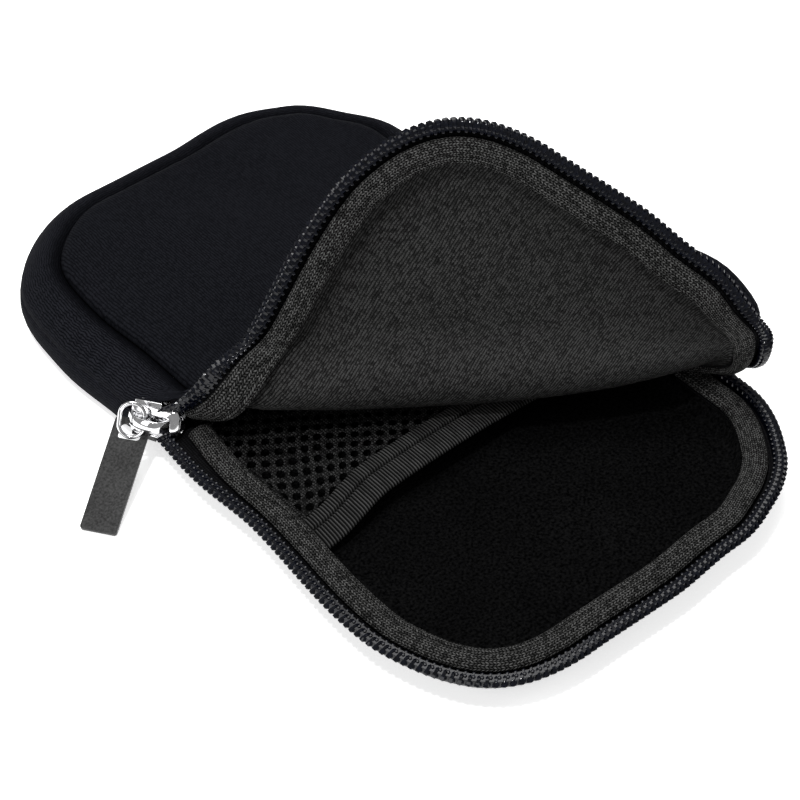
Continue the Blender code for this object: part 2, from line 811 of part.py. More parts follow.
def pull_tab():
    """A flat plate that runs towards -Y of its pivot from a short barrel round the X axis."""
    top = barrel_radius + seam_gap
    neck_top = (barrel_radius + barrel_bore_radius) / 2
    plate = finish(
        block((tab_width, tab_length - top, tab_thickness), (0, -(tab_length + top) / 2, 0)),
        "pull_tab",
        tab_metal,
        parent=tab_pivot,
    )
    neck_size = (barrel_length - 2 * tab_rim, 2 * barrel_radius, tab_thickness - 2 * tab_rim)
    neck = block(neck_size, (0, -neck_top - barrel_radius, 0))
    boolean(plate, cutter(neck, "tab_neck", tab_pivot), "UNION")
    for name, radius, length, operation in (
        ("tab_barrel", barrel_radius, barrel_length, "UNION"),
        ("tab_bore", barrel_bore_radius, 2 * barrel_length, "DIFFERENCE"),
    ):
        turned = bmesh.new()
        bmesh.ops.create_cone(
            turned, cap_ends=True, segments=barrel_sides, radius1=radius, radius2=radius, depth=length
        )
        lay = Matrix.Rotation(pi / 2, 3, "Y")
        bmesh.ops.rotate(turned, cent=(0, 0, 0), matrix=lay, verts=turned.verts[:])
        boolean(plate, cutter(turned, name, tab_pivot), operation)
    return plate


pull_tab()
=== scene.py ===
from itertools import accumulate
from math import asin, atan2, copysign, cos, hypot, pi, radians, sin

import bmesh
import bpy
from mathutils import Matrix, Vector, noise


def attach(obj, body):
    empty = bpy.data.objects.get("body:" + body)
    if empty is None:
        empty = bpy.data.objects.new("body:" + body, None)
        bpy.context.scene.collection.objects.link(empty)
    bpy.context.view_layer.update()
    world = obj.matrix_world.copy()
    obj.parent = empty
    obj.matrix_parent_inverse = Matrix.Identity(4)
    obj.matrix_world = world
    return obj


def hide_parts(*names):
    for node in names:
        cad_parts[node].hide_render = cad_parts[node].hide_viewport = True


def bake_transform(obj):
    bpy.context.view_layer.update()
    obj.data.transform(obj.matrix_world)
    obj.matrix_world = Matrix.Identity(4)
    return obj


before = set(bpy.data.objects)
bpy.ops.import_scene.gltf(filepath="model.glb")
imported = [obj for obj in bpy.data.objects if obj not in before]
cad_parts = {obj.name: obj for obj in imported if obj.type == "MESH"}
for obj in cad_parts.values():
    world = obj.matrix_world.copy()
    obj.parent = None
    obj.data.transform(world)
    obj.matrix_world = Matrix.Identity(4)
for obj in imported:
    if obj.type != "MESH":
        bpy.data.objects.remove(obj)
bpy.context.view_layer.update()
print("frame loaded,", len(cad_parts), "nodes")

# Shapes are worked out in millimetres, zipped up, and scaled to metres when a piece is finished
mm = 0.001
uvPerMm = 0.1  # one unit of a cloth's own map is 10 mm
weld = 0.01  # points nearer than this become one
sleeveSize = {"length": 186.5, "width": 114.0, "thickness": 20.1, "cornerRadius": 33.0}
foldShape = {
    "bearing": radians(-35.3), "reach": 60.25, "openAngle": radians(118),
    "bendStart": -8.0, "flapEdge": 26.0, "earlier": 2.0, "earlierPerMm": 0.03,
    "probe": 0.5, "ceiling": 5.2, "squeeze": 0.35, "pullReach": 18.0,
    "nearPull": (0.0, -10.5, 5.5), "nearPullSpan": (-13.5, 27.0),
    "farPull": (-2.0, -9.0, 7.5), "farPullSpan": (-20.0, 26.0),
    "tuck": 2.4, "tuckPerSquare": 0.0013, "tuckRise": 0.75, "tuckStart": -10.0, "tuckEnd": 26.0,
    "tuckEarlier": (-3.5, -8.0), "tuckEarlierOver": 50.0,
}
midHeight = sleeveSize["thickness"] / 2
cornerRadius = sleeveSize["cornerRadius"]
straightX = sleeveSize["width"] / 2 - cornerRadius  # half of the straight stretch at an end
straightY = sleeveSize["length"] / 2 - cornerRadius  # half of the straight stretch of a side
arcLength = pi / 2 * cornerRadius
rimLength = 4 * (straightX + straightY + arcLength)
foldAlong = Vector((cos(foldShape["bearing"]), sin(foldShape["bearing"]), 0))
foldAcross = Vector((sin(foldShape["bearing"]), -cos(foldShape["bearing"]), 0))
foldPoint = Vector((0, foldShape["reach"] - sleeveSize["length"] / 2, midHeight))


def vertsOf(items):
    return [item for item in items if isinstance(item, bmesh.types.BMVert)]


def edgesOf(items):
    return [item for item in items if isinstance(item, bmesh.types.BMEdge)]


def smoothShare(value):
    value = min(1.0, max(0.0, value))
    return value * value * (3 - 2 * value)


def mix(a, b, share):
    return a + (b - a) * share


# How far in from the outline a place lies, and the way out from it
def rimPlace(x, y):
    pastX = abs(x) - straightX
    pastY = abs(y) - straightY
    if pastX > 0 and pastY > 0:
        reach = hypot(pastX, pastY)
        return cornerRadius - reach, Vector((copysign(pastX, x) / reach, copysign(pastY, y) / reach, 0))
    if pastX > pastY:
        return cornerRadius - pastX, Vector((copysign(1, x), 0, 0))
    return cornerRadius - pastY, Vector((0, copysign(1, y), 0))


# Distance along the rim, from the middle of the closed end by way of the slider's side
rimTurns = list(
    accumulate((straightX, arcLength, 2 * straightY, arcLength, 2 * straightX, arcLength, 2 * straightY))
)


def rimRun(x, y):
    pastX = abs(x) - straightX
    pastY = abs(y) - straightY
    if pastX > 0 and pastY > 0:
        corner = (0 if y > 0 else 2) if x < 0 else (4 if y < 0 else 6)
        turn = atan2(pastX, pastY) if corner % 4 == 0 else atan2(pastY, pastX)
        return rimTurns[corner] + cornerRadius * turn
    if pastX > pastY:
        return rimTurns[1] + straightY - y if x < 0 else rimTurns[5] + straightY + y
    if y < 0:
        return rimTurns[3] + straightX + x
    return -x if x <= 0 else rimLength - x


# Place on the outline and the way out, at a distance along the rim
def rimAt(run):
    run = run % rimLength
    legs = (
        (straightX, arcLength, (0, 1), (-1, 0)),
        (2 * straightY, arcLength, (-1, 0), (0, -1)),
        (2 * straightX, arcLength, (0, -1), (1, 0)),
        (2 * straightY, arcLength, (1, 0), (0, 1)),
        (straightX, 0, (0, 1), (-1, 0)),
    )
    centre = Vector((0, straightY, 0))
    for straight, arc, outwardAxis, heading in legs:
        out = Vector((*outwardAxis, 0))
        ahead = Vector((*heading, 0))
        if run <= straight:
            return centre + ahead * run + out * cornerRadius, out
        centre += ahead * straight
        run -= straight
        if run <= arc:
            turn = run / cornerRadius
            way = out * cos(turn) + ahead * sin(turn)
            return centre + way * cornerRadius, way
        run -= arc
    return centre, out


# The soft rim has gone out of shape: distance along the rim, and how far out it lies there
rimSoftness = {
    "pushes": (
        (0, -0.3), (20, -0.7), (45, -1.3), (68, 0.2), (88, 1.4), (108, 0.1), (155, 0.2), (190, 2.4),
        (206, 1.9), (226, 2.6), (245, 1.6), (272, 1.8), (292, 0.1), (308, -1.5), (326, -0.9), (350, 1.2),
        (390, 0.4), (450, 0.0), (468, -1.0), (487, -3.4), (506, -1.2), (526, 1.5), (rimLength, -0.3),
    ),
    "fullWithin": 6.0,
    "fadesOver": 26.0,
    "trayBulges": ((138, 20, 1.2), (230, 24, 0.8)),
}


def softened(point):
    inset, outward = rimPlace(point.x, point.y)
    share = 1 - smoothShare((inset - rimSoftness["fullWithin"]) / rimSoftness["fadesOver"])
    if share <= 0:
        return point.copy()
    run = rimRun(point.x, point.y) % rimLength
    places = rimSoftness["pushes"]
    push = 0.0
    for (before, first), (after, second) in zip(places, places[1:]):
        if before <= run <= after:
            push = mix(first, second, smoothShare((run - before) / (after - before)))
    if point.z < midHeight:
        for centre, reach, height in rimSoftness["trayBulges"]:
            push += height * (1 - smoothShare(abs(run - centre) / reach))
    return point + outward * (push * share)


def across(point):
    return (point - foldPoint).dot(foldAcross)


# The far side of the flap starts to bend a little earlier than the near side
def bendLead(along):
    return max(0.0, foldShape["earlier"] + foldShape["earlierPerMm"] * along)


def bendSpan(distance, along):
    start = foldShape["bendStart"]
    return (distance + bendLead(along) - start) / (foldShape["flapEdge"] - start)


def hingeTurned(distance, height, along):
    angle = foldShape["openAngle"] * smoothShare(bendSpan(distance, along))
    return Vector((distance * cos(angle) - height * sin(angle), distance * sin(angle) + height * cos(angle)))


# How far the bend is drawn back at a distance across the fold: none at either end of the span
def drawn(distance, span):
    share = min(1.0, max(0.0, (distance - span[0]) / (span[1] - span[0])))
    return sin(pi * share) ** 2


# Where a point of the zipped-up front lies once the flap is folded back
def opened(point):
    offset = point - foldPoint
    distance = offset.dot(foldAcross)
    along = offset.dot(foldAlong)
    side = "near" if point.x < 0 else "far"
    rim = smoothShare(1 - max(0.0, rimPlace(point.x, point.y)[0]) / foldShape["pullReach"])
    tuck = foldShape["tuck"] + foldShape["tuckPerSquare"] * max(0.0, along) ** 2
    rimPull = Vector(foldShape[side + "Pull"])
    tuckPull = Vector((0, -tuck, foldShape["tuckRise"] * tuck))
    earlier = foldShape["tuckEarlier"][along > 0] * smoothShare(abs(along) / foldShape["tuckEarlierOver"])
    tuckSpan = (foldShape["tuckStart"] + earlier, foldShape["tuckEnd"])

    def placed(reach):
        place = hingeTurned(reach, min(offset.z, foldShape["ceiling"]), along)
        shift = rimPull * (rim * drawn(reach, foldShape[side + "PullSpan"]))
        shift += tuckPull * ((1 - rim) * drawn(reach, tuckSpan))
        return Vector((shift.x, place.x + shift.y, place.y + shift.z))

    spot = placed(distance)
    if offset.z > foldShape["ceiling"]:
        run = placed(distance + foldShape["probe"]) - placed(distance - foldShape["probe"])
        out = Vector((0, -run.z, run.y)).normalized()
        hump = sin(pi * min(1.0, max(0.0, bendSpan(distance, along))))
        spot += out * ((offset.z - foldShape["ceiling"]) * (1 - foldShape["squeeze"] * hump**2))
    return foldPoint + foldAlong * (along + spot.x) + foldAcross * spot.y + Vector((0, 0, spot.z))


# Carries a section of (inset, level) points round the rim; capped, it spans the middle
def ringOf(profile, side, closed=True, cornerSteps=18, step=3.0):
    bm = bmesh.new()
    girth = bm.verts.layers.float.new("girth")
    reach = Vector((straightX, straightY, 0))
    centres = [Vector((reach.x * a, reach.y * b, 0)) for a, b in ((1, -1), (1, 1), (-1, 1), (-1, -1))]
    points = []
    length = 0.0
    last = profile[0]
    for inset, level in profile:
        length += hypot(inset - last[0], level - last[1])
        last = (inset, level)
        point = bm.verts.new(centres[0] + Vector((0, inset - cornerRadius, midHeight + side * level)))
        point[girth] = length
        points.append(point)
    following = points[1:] + points[:1] if closed else points[1:]
    section = points + [bm.edges.new(pair) for pair in zip(points, following)]
    for centre, nextCentre in zip(centres, centres[1:] + centres[:1]):
        turned = bmesh.ops.spin(bm, geom=section, cent=centre, axis=(0, 0, 1), angle=pi / 2, steps=cornerSteps)
        section = turned["geom_last"]
        gap = nextCentre - centre
        count = max(1, round(gap.length / step))
        for _ in range(count):
            run = bmesh.ops.extrude_edge_only(bm, edges=edgesOf(section))
            section = vertsOf(run["geom"]) + edgesOf(run["geom"])
            bmesh.ops.translate(bm, vec=gap / count, verts=vertsOf(section))
    bmesh.ops.remove_doubles(bm, verts=bm.verts[:], dist=weld)
    return bm


# Removes what lies on the normal's side of a plane
def cutAway(bm, place, normal, fill=True):
    geometry = bm.verts[:] + bm.edges[:] + bm.faces[:]
    cut = bmesh.ops.bisect_plane(bm, geom=geometry, dist=weld / 10, plane_co=place, plane_no=normal, clear_outer=True)
    if fill:
        bmesh.ops.edgeloop_fill(bm, edges=edgesOf(cut["geom_cut"]))


# Adds rows of edges square to a direction, so that a wide face can bend
def scoreRows(bm, first, last, step, normal, inside):
    count = round((last - first) / step)
    for row in range(count + 1):
        place = foldPoint + normal * mix(first, last, row / count)
        faces = [face for face in bm.faces if len(face.verts) > 4 or inside(face)]
        geometry = list({vert for face in faces for vert in face.verts})
        geometry += list({edge for face in faces for edge in face.edges}) + faces
        bmesh.ops.bisect_plane(bm, geom=geometry, dist=weld, plane_co=place, plane_no=normal)


# Puts the second shape into the first
def joinInto(bm, other):
    mesh = bpy.data.meshes.new("joined")
    other.to_mesh(mesh)
    other.free()
    bm.from_mesh(mesh)
    bpy.data.meshes.remove(mesh)


# Writes the fabric's own coordinates: along and across the rim, or plain plan view
def layPattern(bm, byRim, turned):
    layer = bm.loops.layers.uv.new("weave")
    girth = bm.verts.layers.float.get("girth")
    for face in bm.faces:
        runs = [rimRun(loop.vert.co.x, loop.vert.co.y) if byRim else loop.vert.co.x for loop in face.loops]
        crossing = byRim and max(runs) - min(runs) > rimLength / 2
        for loop, run in zip(face.loops, runs):
            if crossing and run < rimLength / 2:
                run += rimLength
            second = loop.vert[girth] if byRim else loop.vert.co.y
            place = (second, run) if turned else (run, second)
            loop[layer].uv = (place[0] * uvPerMm, place[1] * uvPerMm)


def placeObject(name, data):
    made = bpy.data.objects.new(name, data)
    bpy.context.scene.collection.objects.link(made)
    return made


# Makes the object; a piece that bends is set out zipped up and then folded back, and any other is tied to its body
def finishPiece(
    bm, name, material, body="sleeve", bends=False, byRim=True, turned=False, facing=None, sharp=40,
    patterned=True, soft=True,
):
    bmesh.ops.recalc_face_normals(bm, faces=bm.faces[:])
    if facing is not None:
        widest = max(bm.faces, key=lambda face: face.calc_area())
        if widest.normal.dot(Vector(facing)) < 0:
            bmesh.ops.reverse_faces(bm, faces=bm.faces[:])
    if patterned:
        layPattern(bm, byRim, turned)
    for face in bm.faces:
        face.smooth = True
    bmesh.ops.triangulate(bm, faces=[face for face in bm.faces if len(face.verts) > 4])
    if soft:
        for vertex in bm.verts:
            vertex.co = softened(vertex.co)
    bmesh.ops.scale(bm, vec=Vector((mm, mm, mm)), verts=bm.verts[:])
    mesh = bpy.data.meshes.new(name)
    bm.to_mesh(mesh)
    bm.free()
    mesh.materials.append(material)
    if sharp:
        mesh.set_sharp_from_angle(angle=radians(sharp))
    piece = placeObject(name, mesh)
    if bends:
        zipped = [vertex.co / mm for vertex in mesh.vertices]
        for vertex, point in zip(mesh.vertices, zipped):
            vertex.co = (point + foldAcross * bendLead((point - foldPoint).dot(foldAlong))) * mm
        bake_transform(piece)
        for vertex, point in zip(mesh.vertices, zipped):
            vertex.co = opened(point) * mm
    else:
        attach(piece, body)
    return piece


def addModifier(piece, kind, name, **values):
    modifier = piece.modifiers.new(name, kind)
    for key, value in values.items():
        setattr(modifier, key, value)


def addThickness(piece, thickness, offset=-1.0):
    addModifier(piece, "SOLIDIFY", "thickness", thickness=thickness * mm, offset=offset)


# Node helpers
def addNode(tree, kind, inputs=None, **settings):
    node = tree.nodes.new(kind)
    for key, value in settings.items():
        setattr(node, key, value)
    for key, value in (inputs or {}).items():
        if isinstance(value, bpy.types.NodeSocket):
            tree.links.new(value, node.inputs[key])
        else:
            node.inputs[key].default_value = value
    return node


def calc(tree, operation, *values, kind="ShaderNodeMath"):
    return addNode(tree, kind, dict(enumerate(values)), operation=operation).outputs[0]


# A shared effect: its named inputs with their usual values, and its outputs
def newGroup(name, inputs, outputs):
    group = bpy.data.node_groups.new(name, "ShaderNodeTree")
    for label, value in inputs.items():
        kind = "NodeSocketVector" if value is None else "NodeSocketFloat"
        socket = group.interface.new_socket(label, in_out="INPUT", socket_type=kind)
        if value is not None:
            socket.default_value = value
    for label in outputs:
        group.interface.new_socket(label, in_out="OUTPUT", socket_type="NodeSocketFloat")
    return group, group.nodes.new("NodeGroupInput"), group.nodes.new("NodeGroupOutput")


# Columns of slanted stitches, wavering a little, each with a shade of its own
knitUsual = {
    "Vector": None, "Columns": 10.0, "Rows": 14.0, "Slant": 0.6, "Legs": 1.0, "Waver": 0.03, "RowShare": 1.0,
    "Crispness": 1.0,
}
knitRipple = {"scale": 5.0, "detail": 2.0, "gapLevel": 0.15}


def makeKnitGroup():
    group, entry, leave = newGroup("knitLoops", knitUsual, ("Height", "Shade"))
    given = entry.outputs
    waves = {"Vector": given["Vector"], "Scale": knitRipple["scale"], "Detail": knitRipple["detail"]}
    ripple = addNode(group, "ShaderNodeTexNoise", waves).outputs["Color"]
    vectorMath = "ShaderNodeVectorMath"
    centred = calc(group, "SUBTRACT", ripple, (0.5, 0.5, 0.5), kind=vectorMath)
    moved = calc(group, "MULTIPLY_ADD", centred, given["Waver"], given["Vector"], kind=vectorMath)
    split = addNode(group, "ShaderNodeSeparateXYZ", {0: moved})
    column = calc(group, "MULTIPLY", split.outputs[0], given["Columns"])
    row = calc(group, "MULTIPLY", split.outputs[1], given["Rows"])
    side = calc(group, "ABSOLUTE", calc(group, "SUBTRACT", calc(group, "FRACT", column), 0.5))
    lean = calc(group, "MULTIPLY", calc(group, "MULTIPLY", side, 2.0), given["Slant"])
    slanted = calc(group, "ADD", row, lean)
    leg = calc(group, "MULTIPLY", column, given["Legs"])
    rowRidge, legRidge = (
        calc(group, "SINE", calc(group, "MULTIPLY", calc(group, "FRACT", place), pi)) for place in (slanted, leg)
    )
    rowLevel = calc(group, "MULTIPLY_ADD", calc(group, "SUBTRACT", rowRidge, 1.0), given["RowShare"], 1.0)
    gap = knitRipple["gapLevel"]
    ridge = calc(group, "MULTIPLY", rowLevel, calc(group, "MULTIPLY_ADD", legRidge, 1 - gap, gap))
    stitch = addNode(
        group, "ShaderNodeCombineXYZ", {0: calc(group, "FLOOR", leg), 1: calc(group, "FLOOR", slanted)}
    )
    chance = addNode(group, "ShaderNodeTexWhiteNoise", {"Vector": stitch.outputs[0]}, noise_dimensions="3D")
    group.links.new(calc(group, "POWER", ridge, given["Crispness"]), leave.inputs["Height"])
    group.links.new(chance.outputs["Value"], leave.inputs["Shade"])
    return group


# Uneven dye and handling marks: a broad cloud and fine flecks
def makeMottleGroup():
    group, entry, leave = newGroup("mottle", {"Vector": None, "Cloud": 30.0, "Fleck": 2500.0}, ("Cloud", "Fleck"))
    for name, detail in (("Cloud", 3.0), ("Fleck", 2.0)):
        place = {"Vector": entry.outputs["Vector"], "Scale": entry.outputs[name], "Detail": detail}
        marks = addNode(group, "ShaderNodeTexNoise", place)
        group.links.new(marks.outputs[0], leave.inputs[name])
    return group


knitLoops = makeKnitGroup()
mottle = makeMottleGroup()


def useGroup(tree, group, **inputs):
    return addNode(tree, "ShaderNodeGroup", inputs, node_tree=group).outputs


def newMaterial(name):
    material = bpy.data.materials.new(name)
    material.use_nodes = True
    tree = material.node_tree
    return material, tree, tree.nodes["Principled BSDF"]


def objectPlace(tree):
    return addNode(tree, "ShaderNodeTexCoord").outputs["Object"]


def paintBetween(tree, shader, share, dark, light):
    ends = {"Factor": share, "A": (*dark, 1), "B": (*light, 1)}
    tint = addNode(tree, "ShaderNodeMix", ends, data_type="RGBA")
    tree.links.new(tint.outputs["Result"], shader.inputs["Base Color"])


def addRelief(tree, shader, strength, depth, height):
    bump = addNode(tree, "ShaderNodeBump", {"Strength": strength, "Distance": depth, "Height": height})
    tree.links.new(bump.outputs[0], shader.inputs["Normal"])


stitchKeys = [key for key in knitUsual if key != "Vector"]

# Each cloth: colours of its hollows and its threads, stitches per 10 mm, and how uneven it is
usualCloth = {
    "Slant": 0.5, "Legs": 1.0, "Waver": 0.05, "RowShare": 1.0, "Crispness": 1.5, "shade": 0.6, "cloud": 0.1,
    "grooveAndShade": 0.0, "fleck": 0.4, "bump": 0.6, "depth": 0.00008, "roughness": 0.9, "spread": 0.15, "specular": 0.02,
}
clothLooks = {
    "coverKnit": {
        "dark": (0.0004, 0.0005, 0.0010), "light": (0.0098, 0.0104, 0.0132), "Columns": 14.5, "Rows": 17.0,
        "Waver": 0.08, "RowShare": 0.35, "Crispness": 0.9, "shade": 0.3, "cloud": 0.25, "roughness": 0.85,
    },
    "bandKnit": {
        "dark": (0.0003, 0.0004, 0.0008), "light": (0.0135, 0.0142, 0.0180), "Columns": 25.0, "Rows": 14.0,
        "Slant": 0.2, "Waver": 0.08, "RowShare": 0.15, "Crispness": 1.4, "shade": 0.3, "cloud": 0.25,
        # the band's inner slope is darkened towards the seam by painted shade
        "grooveAndShade": 0.75, "depth": 0.00006, "roughness": 0.85,
    },
    "liningKnit": {
        "dark": (0.0020, 0.0020, 0.0020), "light": (0.0500, 0.0500, 0.0495), "Columns": 16.0, "Rows": 18.0,
        "Slant": 0.8, "RowShare": 0.5, "cloud": 0.15,
    },
    "rollKnit": {
        "dark": (0.0005, 0.0005, 0.0005), "light": (0.1050, 0.1050, 0.1030), "Columns": 9.0, "Rows": 11.5,
        "Slant": 0.8, "Legs": 2.0, "Crispness": 1.8, "shade": 0.7, "cloud": 0.12, "bump": 1.0, "depth": 0.00012,
    },
    "tapeWeave": {
        "dark": (0.0010, 0.0010, 0.0012), "light": (0.0085, 0.0085, 0.0095), "Columns": 16.0, "Rows": 16.0,
        "Slant": 0.0, "Waver": 0.02, "Crispness": 1.0, "shade": 0.4, "roughness": 0.8, "specular": 0.04,
    },
    "hemRib": {
        "dark": (0.0001, 0.0001, 0.0001), "light": (0.0600, 0.0600, 0.0594), "Columns": 13.333, "Rows": 1.0,
        # the sunken stitch line of the hem is darkened by painted shade
        "Slant": 0.0, "Waver": 0.0, "RowShare": 0.0, "Crispness": 5.0, "shade": 0.3, "grooveAndShade": 0.9, "bump": 0.8,
        "depth": 0.00010, "roughness": 0.7, "specular": 0.05,
    },
    "netNylon": {
        "dark": (0.0005, 0.0005, 0.0005), "light": (0.0450, 0.0450, 0.0450), "Columns": 16.0, "Rows": 16.0,
        "Slant": 0.6, "Waver": 0.08, "Crispness": 2.4, "shade": 0.9, "bump": 0.8, "depth": 0.00010,
        "roughness": 0.6, "specular": 0.05,
    },
}


# Cloth whose stitches set its colour and its relief; the pattern follows the piece's own map
def clothMaterial(name):
    look = {**usualCloth, **clothLooks[name]}
    material, tree, shader = newMaterial(name)
    weave = addNode(tree, "ShaderNodeUVMap", uv_map="weave").outputs[0]
    knit = useGroup(tree, knitLoops, Vector=weave, **{key: look[key] for key in stitchKeys})
    marks = useGroup(tree, mottle, Vector=objectPlace(tree))
    strength = calc(tree, "MULTIPLY_ADD", knit["Shade"], 2 * look["shade"], 1 - look["shade"])
    cloud = calc(tree, "MULTIPLY_ADD", marks["Cloud"], 2 * look["cloud"], -look["cloud"])
    shade = calc(tree, "MULTIPLY", knit["Height"], calc(tree, "ADD", strength, cloud))
    # painted shade: where a piece marks its groove, the colour is darkened there as shade in the groove
    if look["grooveAndShade"]:
        sunk = addNode(tree, "ShaderNodeAttribute", attribute_name="grooveAndShade").outputs["Fac"]
        shade = calc(tree, "MULTIPLY", shade, calc(tree, "MULTIPLY_ADD", sunk, -look["grooveAndShade"], 1.0))
    paintBetween(tree, shader, shade, look["dark"], look["light"])
    relief = calc(tree, "MULTIPLY_ADD", marks["Fleck"], look["fleck"], knit["Height"])
    addRelief(tree, shader, look["bump"], look["depth"], relief)
    rough = calc(tree, "MULTIPLY_ADD", marks["Cloud"], look["spread"], look["roughness"] - look["spread"] / 2)
    tree.links.new(rough, shader.inputs["Roughness"])
    shader.inputs["Specular IOR Level"].default_value = look["specular"]
    return material


cloths = {name: clothMaterial(name) for name in clothLooks}

pileLook = {
    "dark": (0.0006, 0.0006, 0.0007), "light": (0.0100, 0.0100, 0.0102), "tuft": 1500.0, "lay": 55.0,
    "tuftContrast": (1.6, -0.5), "layContrast": (0.9, 0.4), "bump": 0.9, "depth": 0.00035,
}


# Short black pile: soft tufts, and patches where it lies another way
def pileMaterial():
    material, tree, shader = newMaterial("plushPile")
    marks = useGroup(tree, mottle, Vector=objectPlace(tree), Cloud=pileLook["lay"], Fleck=pileLook["tuft"])
    tuft = calc(tree, "MULTIPLY_ADD", marks["Fleck"], *pileLook["tuftContrast"])
    shade = calc(tree, "MULTIPLY", tuft, calc(tree, "MULTIPLY_ADD", marks["Cloud"], *pileLook["layContrast"]))
    paintBetween(tree, shader, shade, pileLook["dark"], pileLook["light"])
    addRelief(tree, shader, pileLook["bump"], pileLook["depth"], marks["Fleck"])
    shader.inputs["Roughness"].default_value = 1.0
    shader.inputs["Specular IOR Level"].default_value = 0.0
    return material


# Nylon and metal: dull and bright colour, gloss, and the size of their marks
shinyLooks = {
    "coilNylon": {
        "dull": (0.0006, 0.0008, 0.0018), "bright": (0.0026, 0.0036, 0.0080), "roughness": 0.14,
        "specular": 0.32, "metallic": 0.0, "fleck": 1200.0, "scratch": 0.15,
    },
    "sliderChrome": {
        "dull": (0.74, 0.74, 0.75), "bright": (0.93, 0.93, 0.94), "roughness": 0.06,
        "specular": 0.5, "metallic": 1.0, "fleck": 700.0, "scratch": 0.0,
    },
    "tabFace": {
        "dull": (0.006, 0.006, 0.006), "bright": (0.034, 0.034, 0.034), "roughness": 0.45,
        "specular": 0.35, "metallic": 0.6, "fleck": 2000.0, "scratch": 0.6,
    },
}
shinyMarks = {"cloud": 160.0, "contrast": (2.4, -0.7), "depth": 0.00003}


def shinyMaterial(name):
    look = shinyLooks[name]
    material, tree, shader = newMaterial(name)
    place = objectPlace(tree)
    marks = useGroup(tree, mottle, Vector=place, Cloud=shinyMarks["cloud"], Fleck=look["fleck"])
    share = calc(tree, "MULTIPLY_ADD", marks["Fleck"], *shinyMarks["contrast"])
    paintBetween(tree, shader, share, look["dull"], look["bright"])
    gloss = calc(tree, "MULTIPLY_ADD", marks["Cloud"], look["roughness"], look["roughness"] / 2)
    tree.links.new(gloss, shader.inputs["Roughness"])
    shader.inputs["Metallic"].default_value = look["metallic"]
    shader.inputs["Specular IOR Level"].default_value = look["specular"]
    if look["scratch"]:
        addRelief(tree, shader, look["scratch"], shinyMarks["depth"], marks["Fleck"])
    return material


finishes = {name: shinyMaterial(name) for name in shinyLooks}
print("materials made")

# Outer panels and linings, each crowned and turned in at its seam, as (inset, level) sections
panelShape = {
    "front": (
        (10.7, 5.8), (10.5, 6.5), (10.6, 7.3), (11.0, 8.1), (11.9, 8.9), (13.6, 9.5), (17.0, 9.85),
        (21.0, 10.0), (28.0, 10.05),
    ),
    "back": ((10.3, 8.6), (10.35, 9.3), (10.8, 9.8), (12.0, 10.0), (16.0, 10.05), (28.0, 10.05)),
    "lining": (
        (9.8, 3.1), (10.4, 3.9), (11.3, 4.7), (12.5, 5.5), (14.2, 6.1), (16.8, 6.2), (20.5, 5.9), (25.5, 5.4),
        (31.0, 5.1),
    ),
    "plush": ((9.8, 3.2), (10.3, 3.7), (10.9, 4.6), (11.5, 5.3), (12.6, 5.85), (16.0, 5.95), (28.0, 5.95)),
    "middleFrom": 20.0, "scoredAcross": (-96, 46), "scoredAlong": (-72, 72),
    "rowStep": 2.0, "stiffStep": 6.0, "columnStep": 6.0,
    "unevenFrom": 12.0, "unevenFade": 9.0, "unevenSize": 24.0, "seedPerMm": 40.0,
    "calmSpan": (-40.0, 60.0), "calm": 0.8,
    "swell": {"front": 2.3}, "swellSpan": (-1.0, 31.0), "swellFrom": 10.4, "swellOver": 2.0,
    "farSwell": 1.3, "farSwellOver": 42.0,
}


def insetOf(vertex):
    return rimPlace(vertex.co.x, vertex.co.y)[0]


# How far a panel's point is lifted: a little unevenness, and room for the lining beside the bend
def panelLift(vertex, profile, thickness, uneven):
    inset = insetOf(vertex)
    uneven *= smoothShare((inset - panelShape["unevenFrom"]) / panelShape["unevenFade"])
    uneven *= 1 - panelShape["calm"] * drawn(across(vertex.co), panelShape["calmSpan"])
    seed = panelShape["seedPerMm"] * thickness
    ripple = noise.noise(Vector((vertex.co.x, vertex.co.y, seed)) / panelShape["unevenSize"])
    swell = panelShape["swell"].get(profile, 0.0) * drawn(across(vertex.co), panelShape["swellSpan"])
    swell *= smoothShare((inset - panelShape["swellFrom"]) / panelShape["swellOver"])
    along = (vertex.co - foldPoint).dot(foldAlong)
    swell *= 1 + panelShape["farSwell"] * smoothShare(along / panelShape["farSwellOver"])
    return uneven * ripple + swell


def panel(name, profile, side, material, facing, bends, thickness, uneven):
    bm = ringOf(panelShape[profile], side, closed=False)
    rims = [edge for edge in bm.edges if edge.is_boundary]
    inner = [edge for edge in rims if all(insetOf(vert) > panelShape["middleFrom"] for vert in edge.verts)]
    bmesh.ops.holes_fill(bm, edges=inner, sides=0)
    deepest = panelShape[profile][-1][0] - 0.1

    def middle(face):
        return all(insetOf(vert) > deepest for vert in face.verts)

    rowStep = panelShape["rowStep" if bends else "stiffStep"]
    scoreRows(bm, *panelShape["scoredAcross"], rowStep, foldAcross, middle)
    scoreRows(bm, *panelShape["scoredAlong"], panelShape["columnStep"], foldAlong, middle)
    for vertex in bm.verts:
        vertex.co.z += panelLift(vertex, profile, thickness, uneven)
    piece = finishPiece(bm, name, material, bends=bends, byRim=False, facing=facing, sharp=0)
    addThickness(piece, thickness)
    return piece


frontPanel = panel("frontPanel", "front", 1, cloths["coverKnit"], (0, 0, 1), True, 1.0, 0.6)
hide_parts("front_cover", "front_foam", "fold_cover", "fold_foam", "flap_cover", "flap_foam")
backPanel = panel("backPanel", "back", -1, cloths["coverKnit"], (0, 0, -1), False, 1.0, 0.0)
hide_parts("back_cover", "back_foam")
frontLining = panel("frontLining", "lining", 1, cloths["liningKnit"], (0, 0, -1), True, 0.8, 0.6)
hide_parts("front_lining", "fold_lining", "flap_lining")
plushLiner = panel("plushLiner", "plush", -1, pileMaterial(), (0, 0, 1), False, 0.8, 0.3)
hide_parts("floor_lining", "wall_lining", "side_foam")
print("panels made")

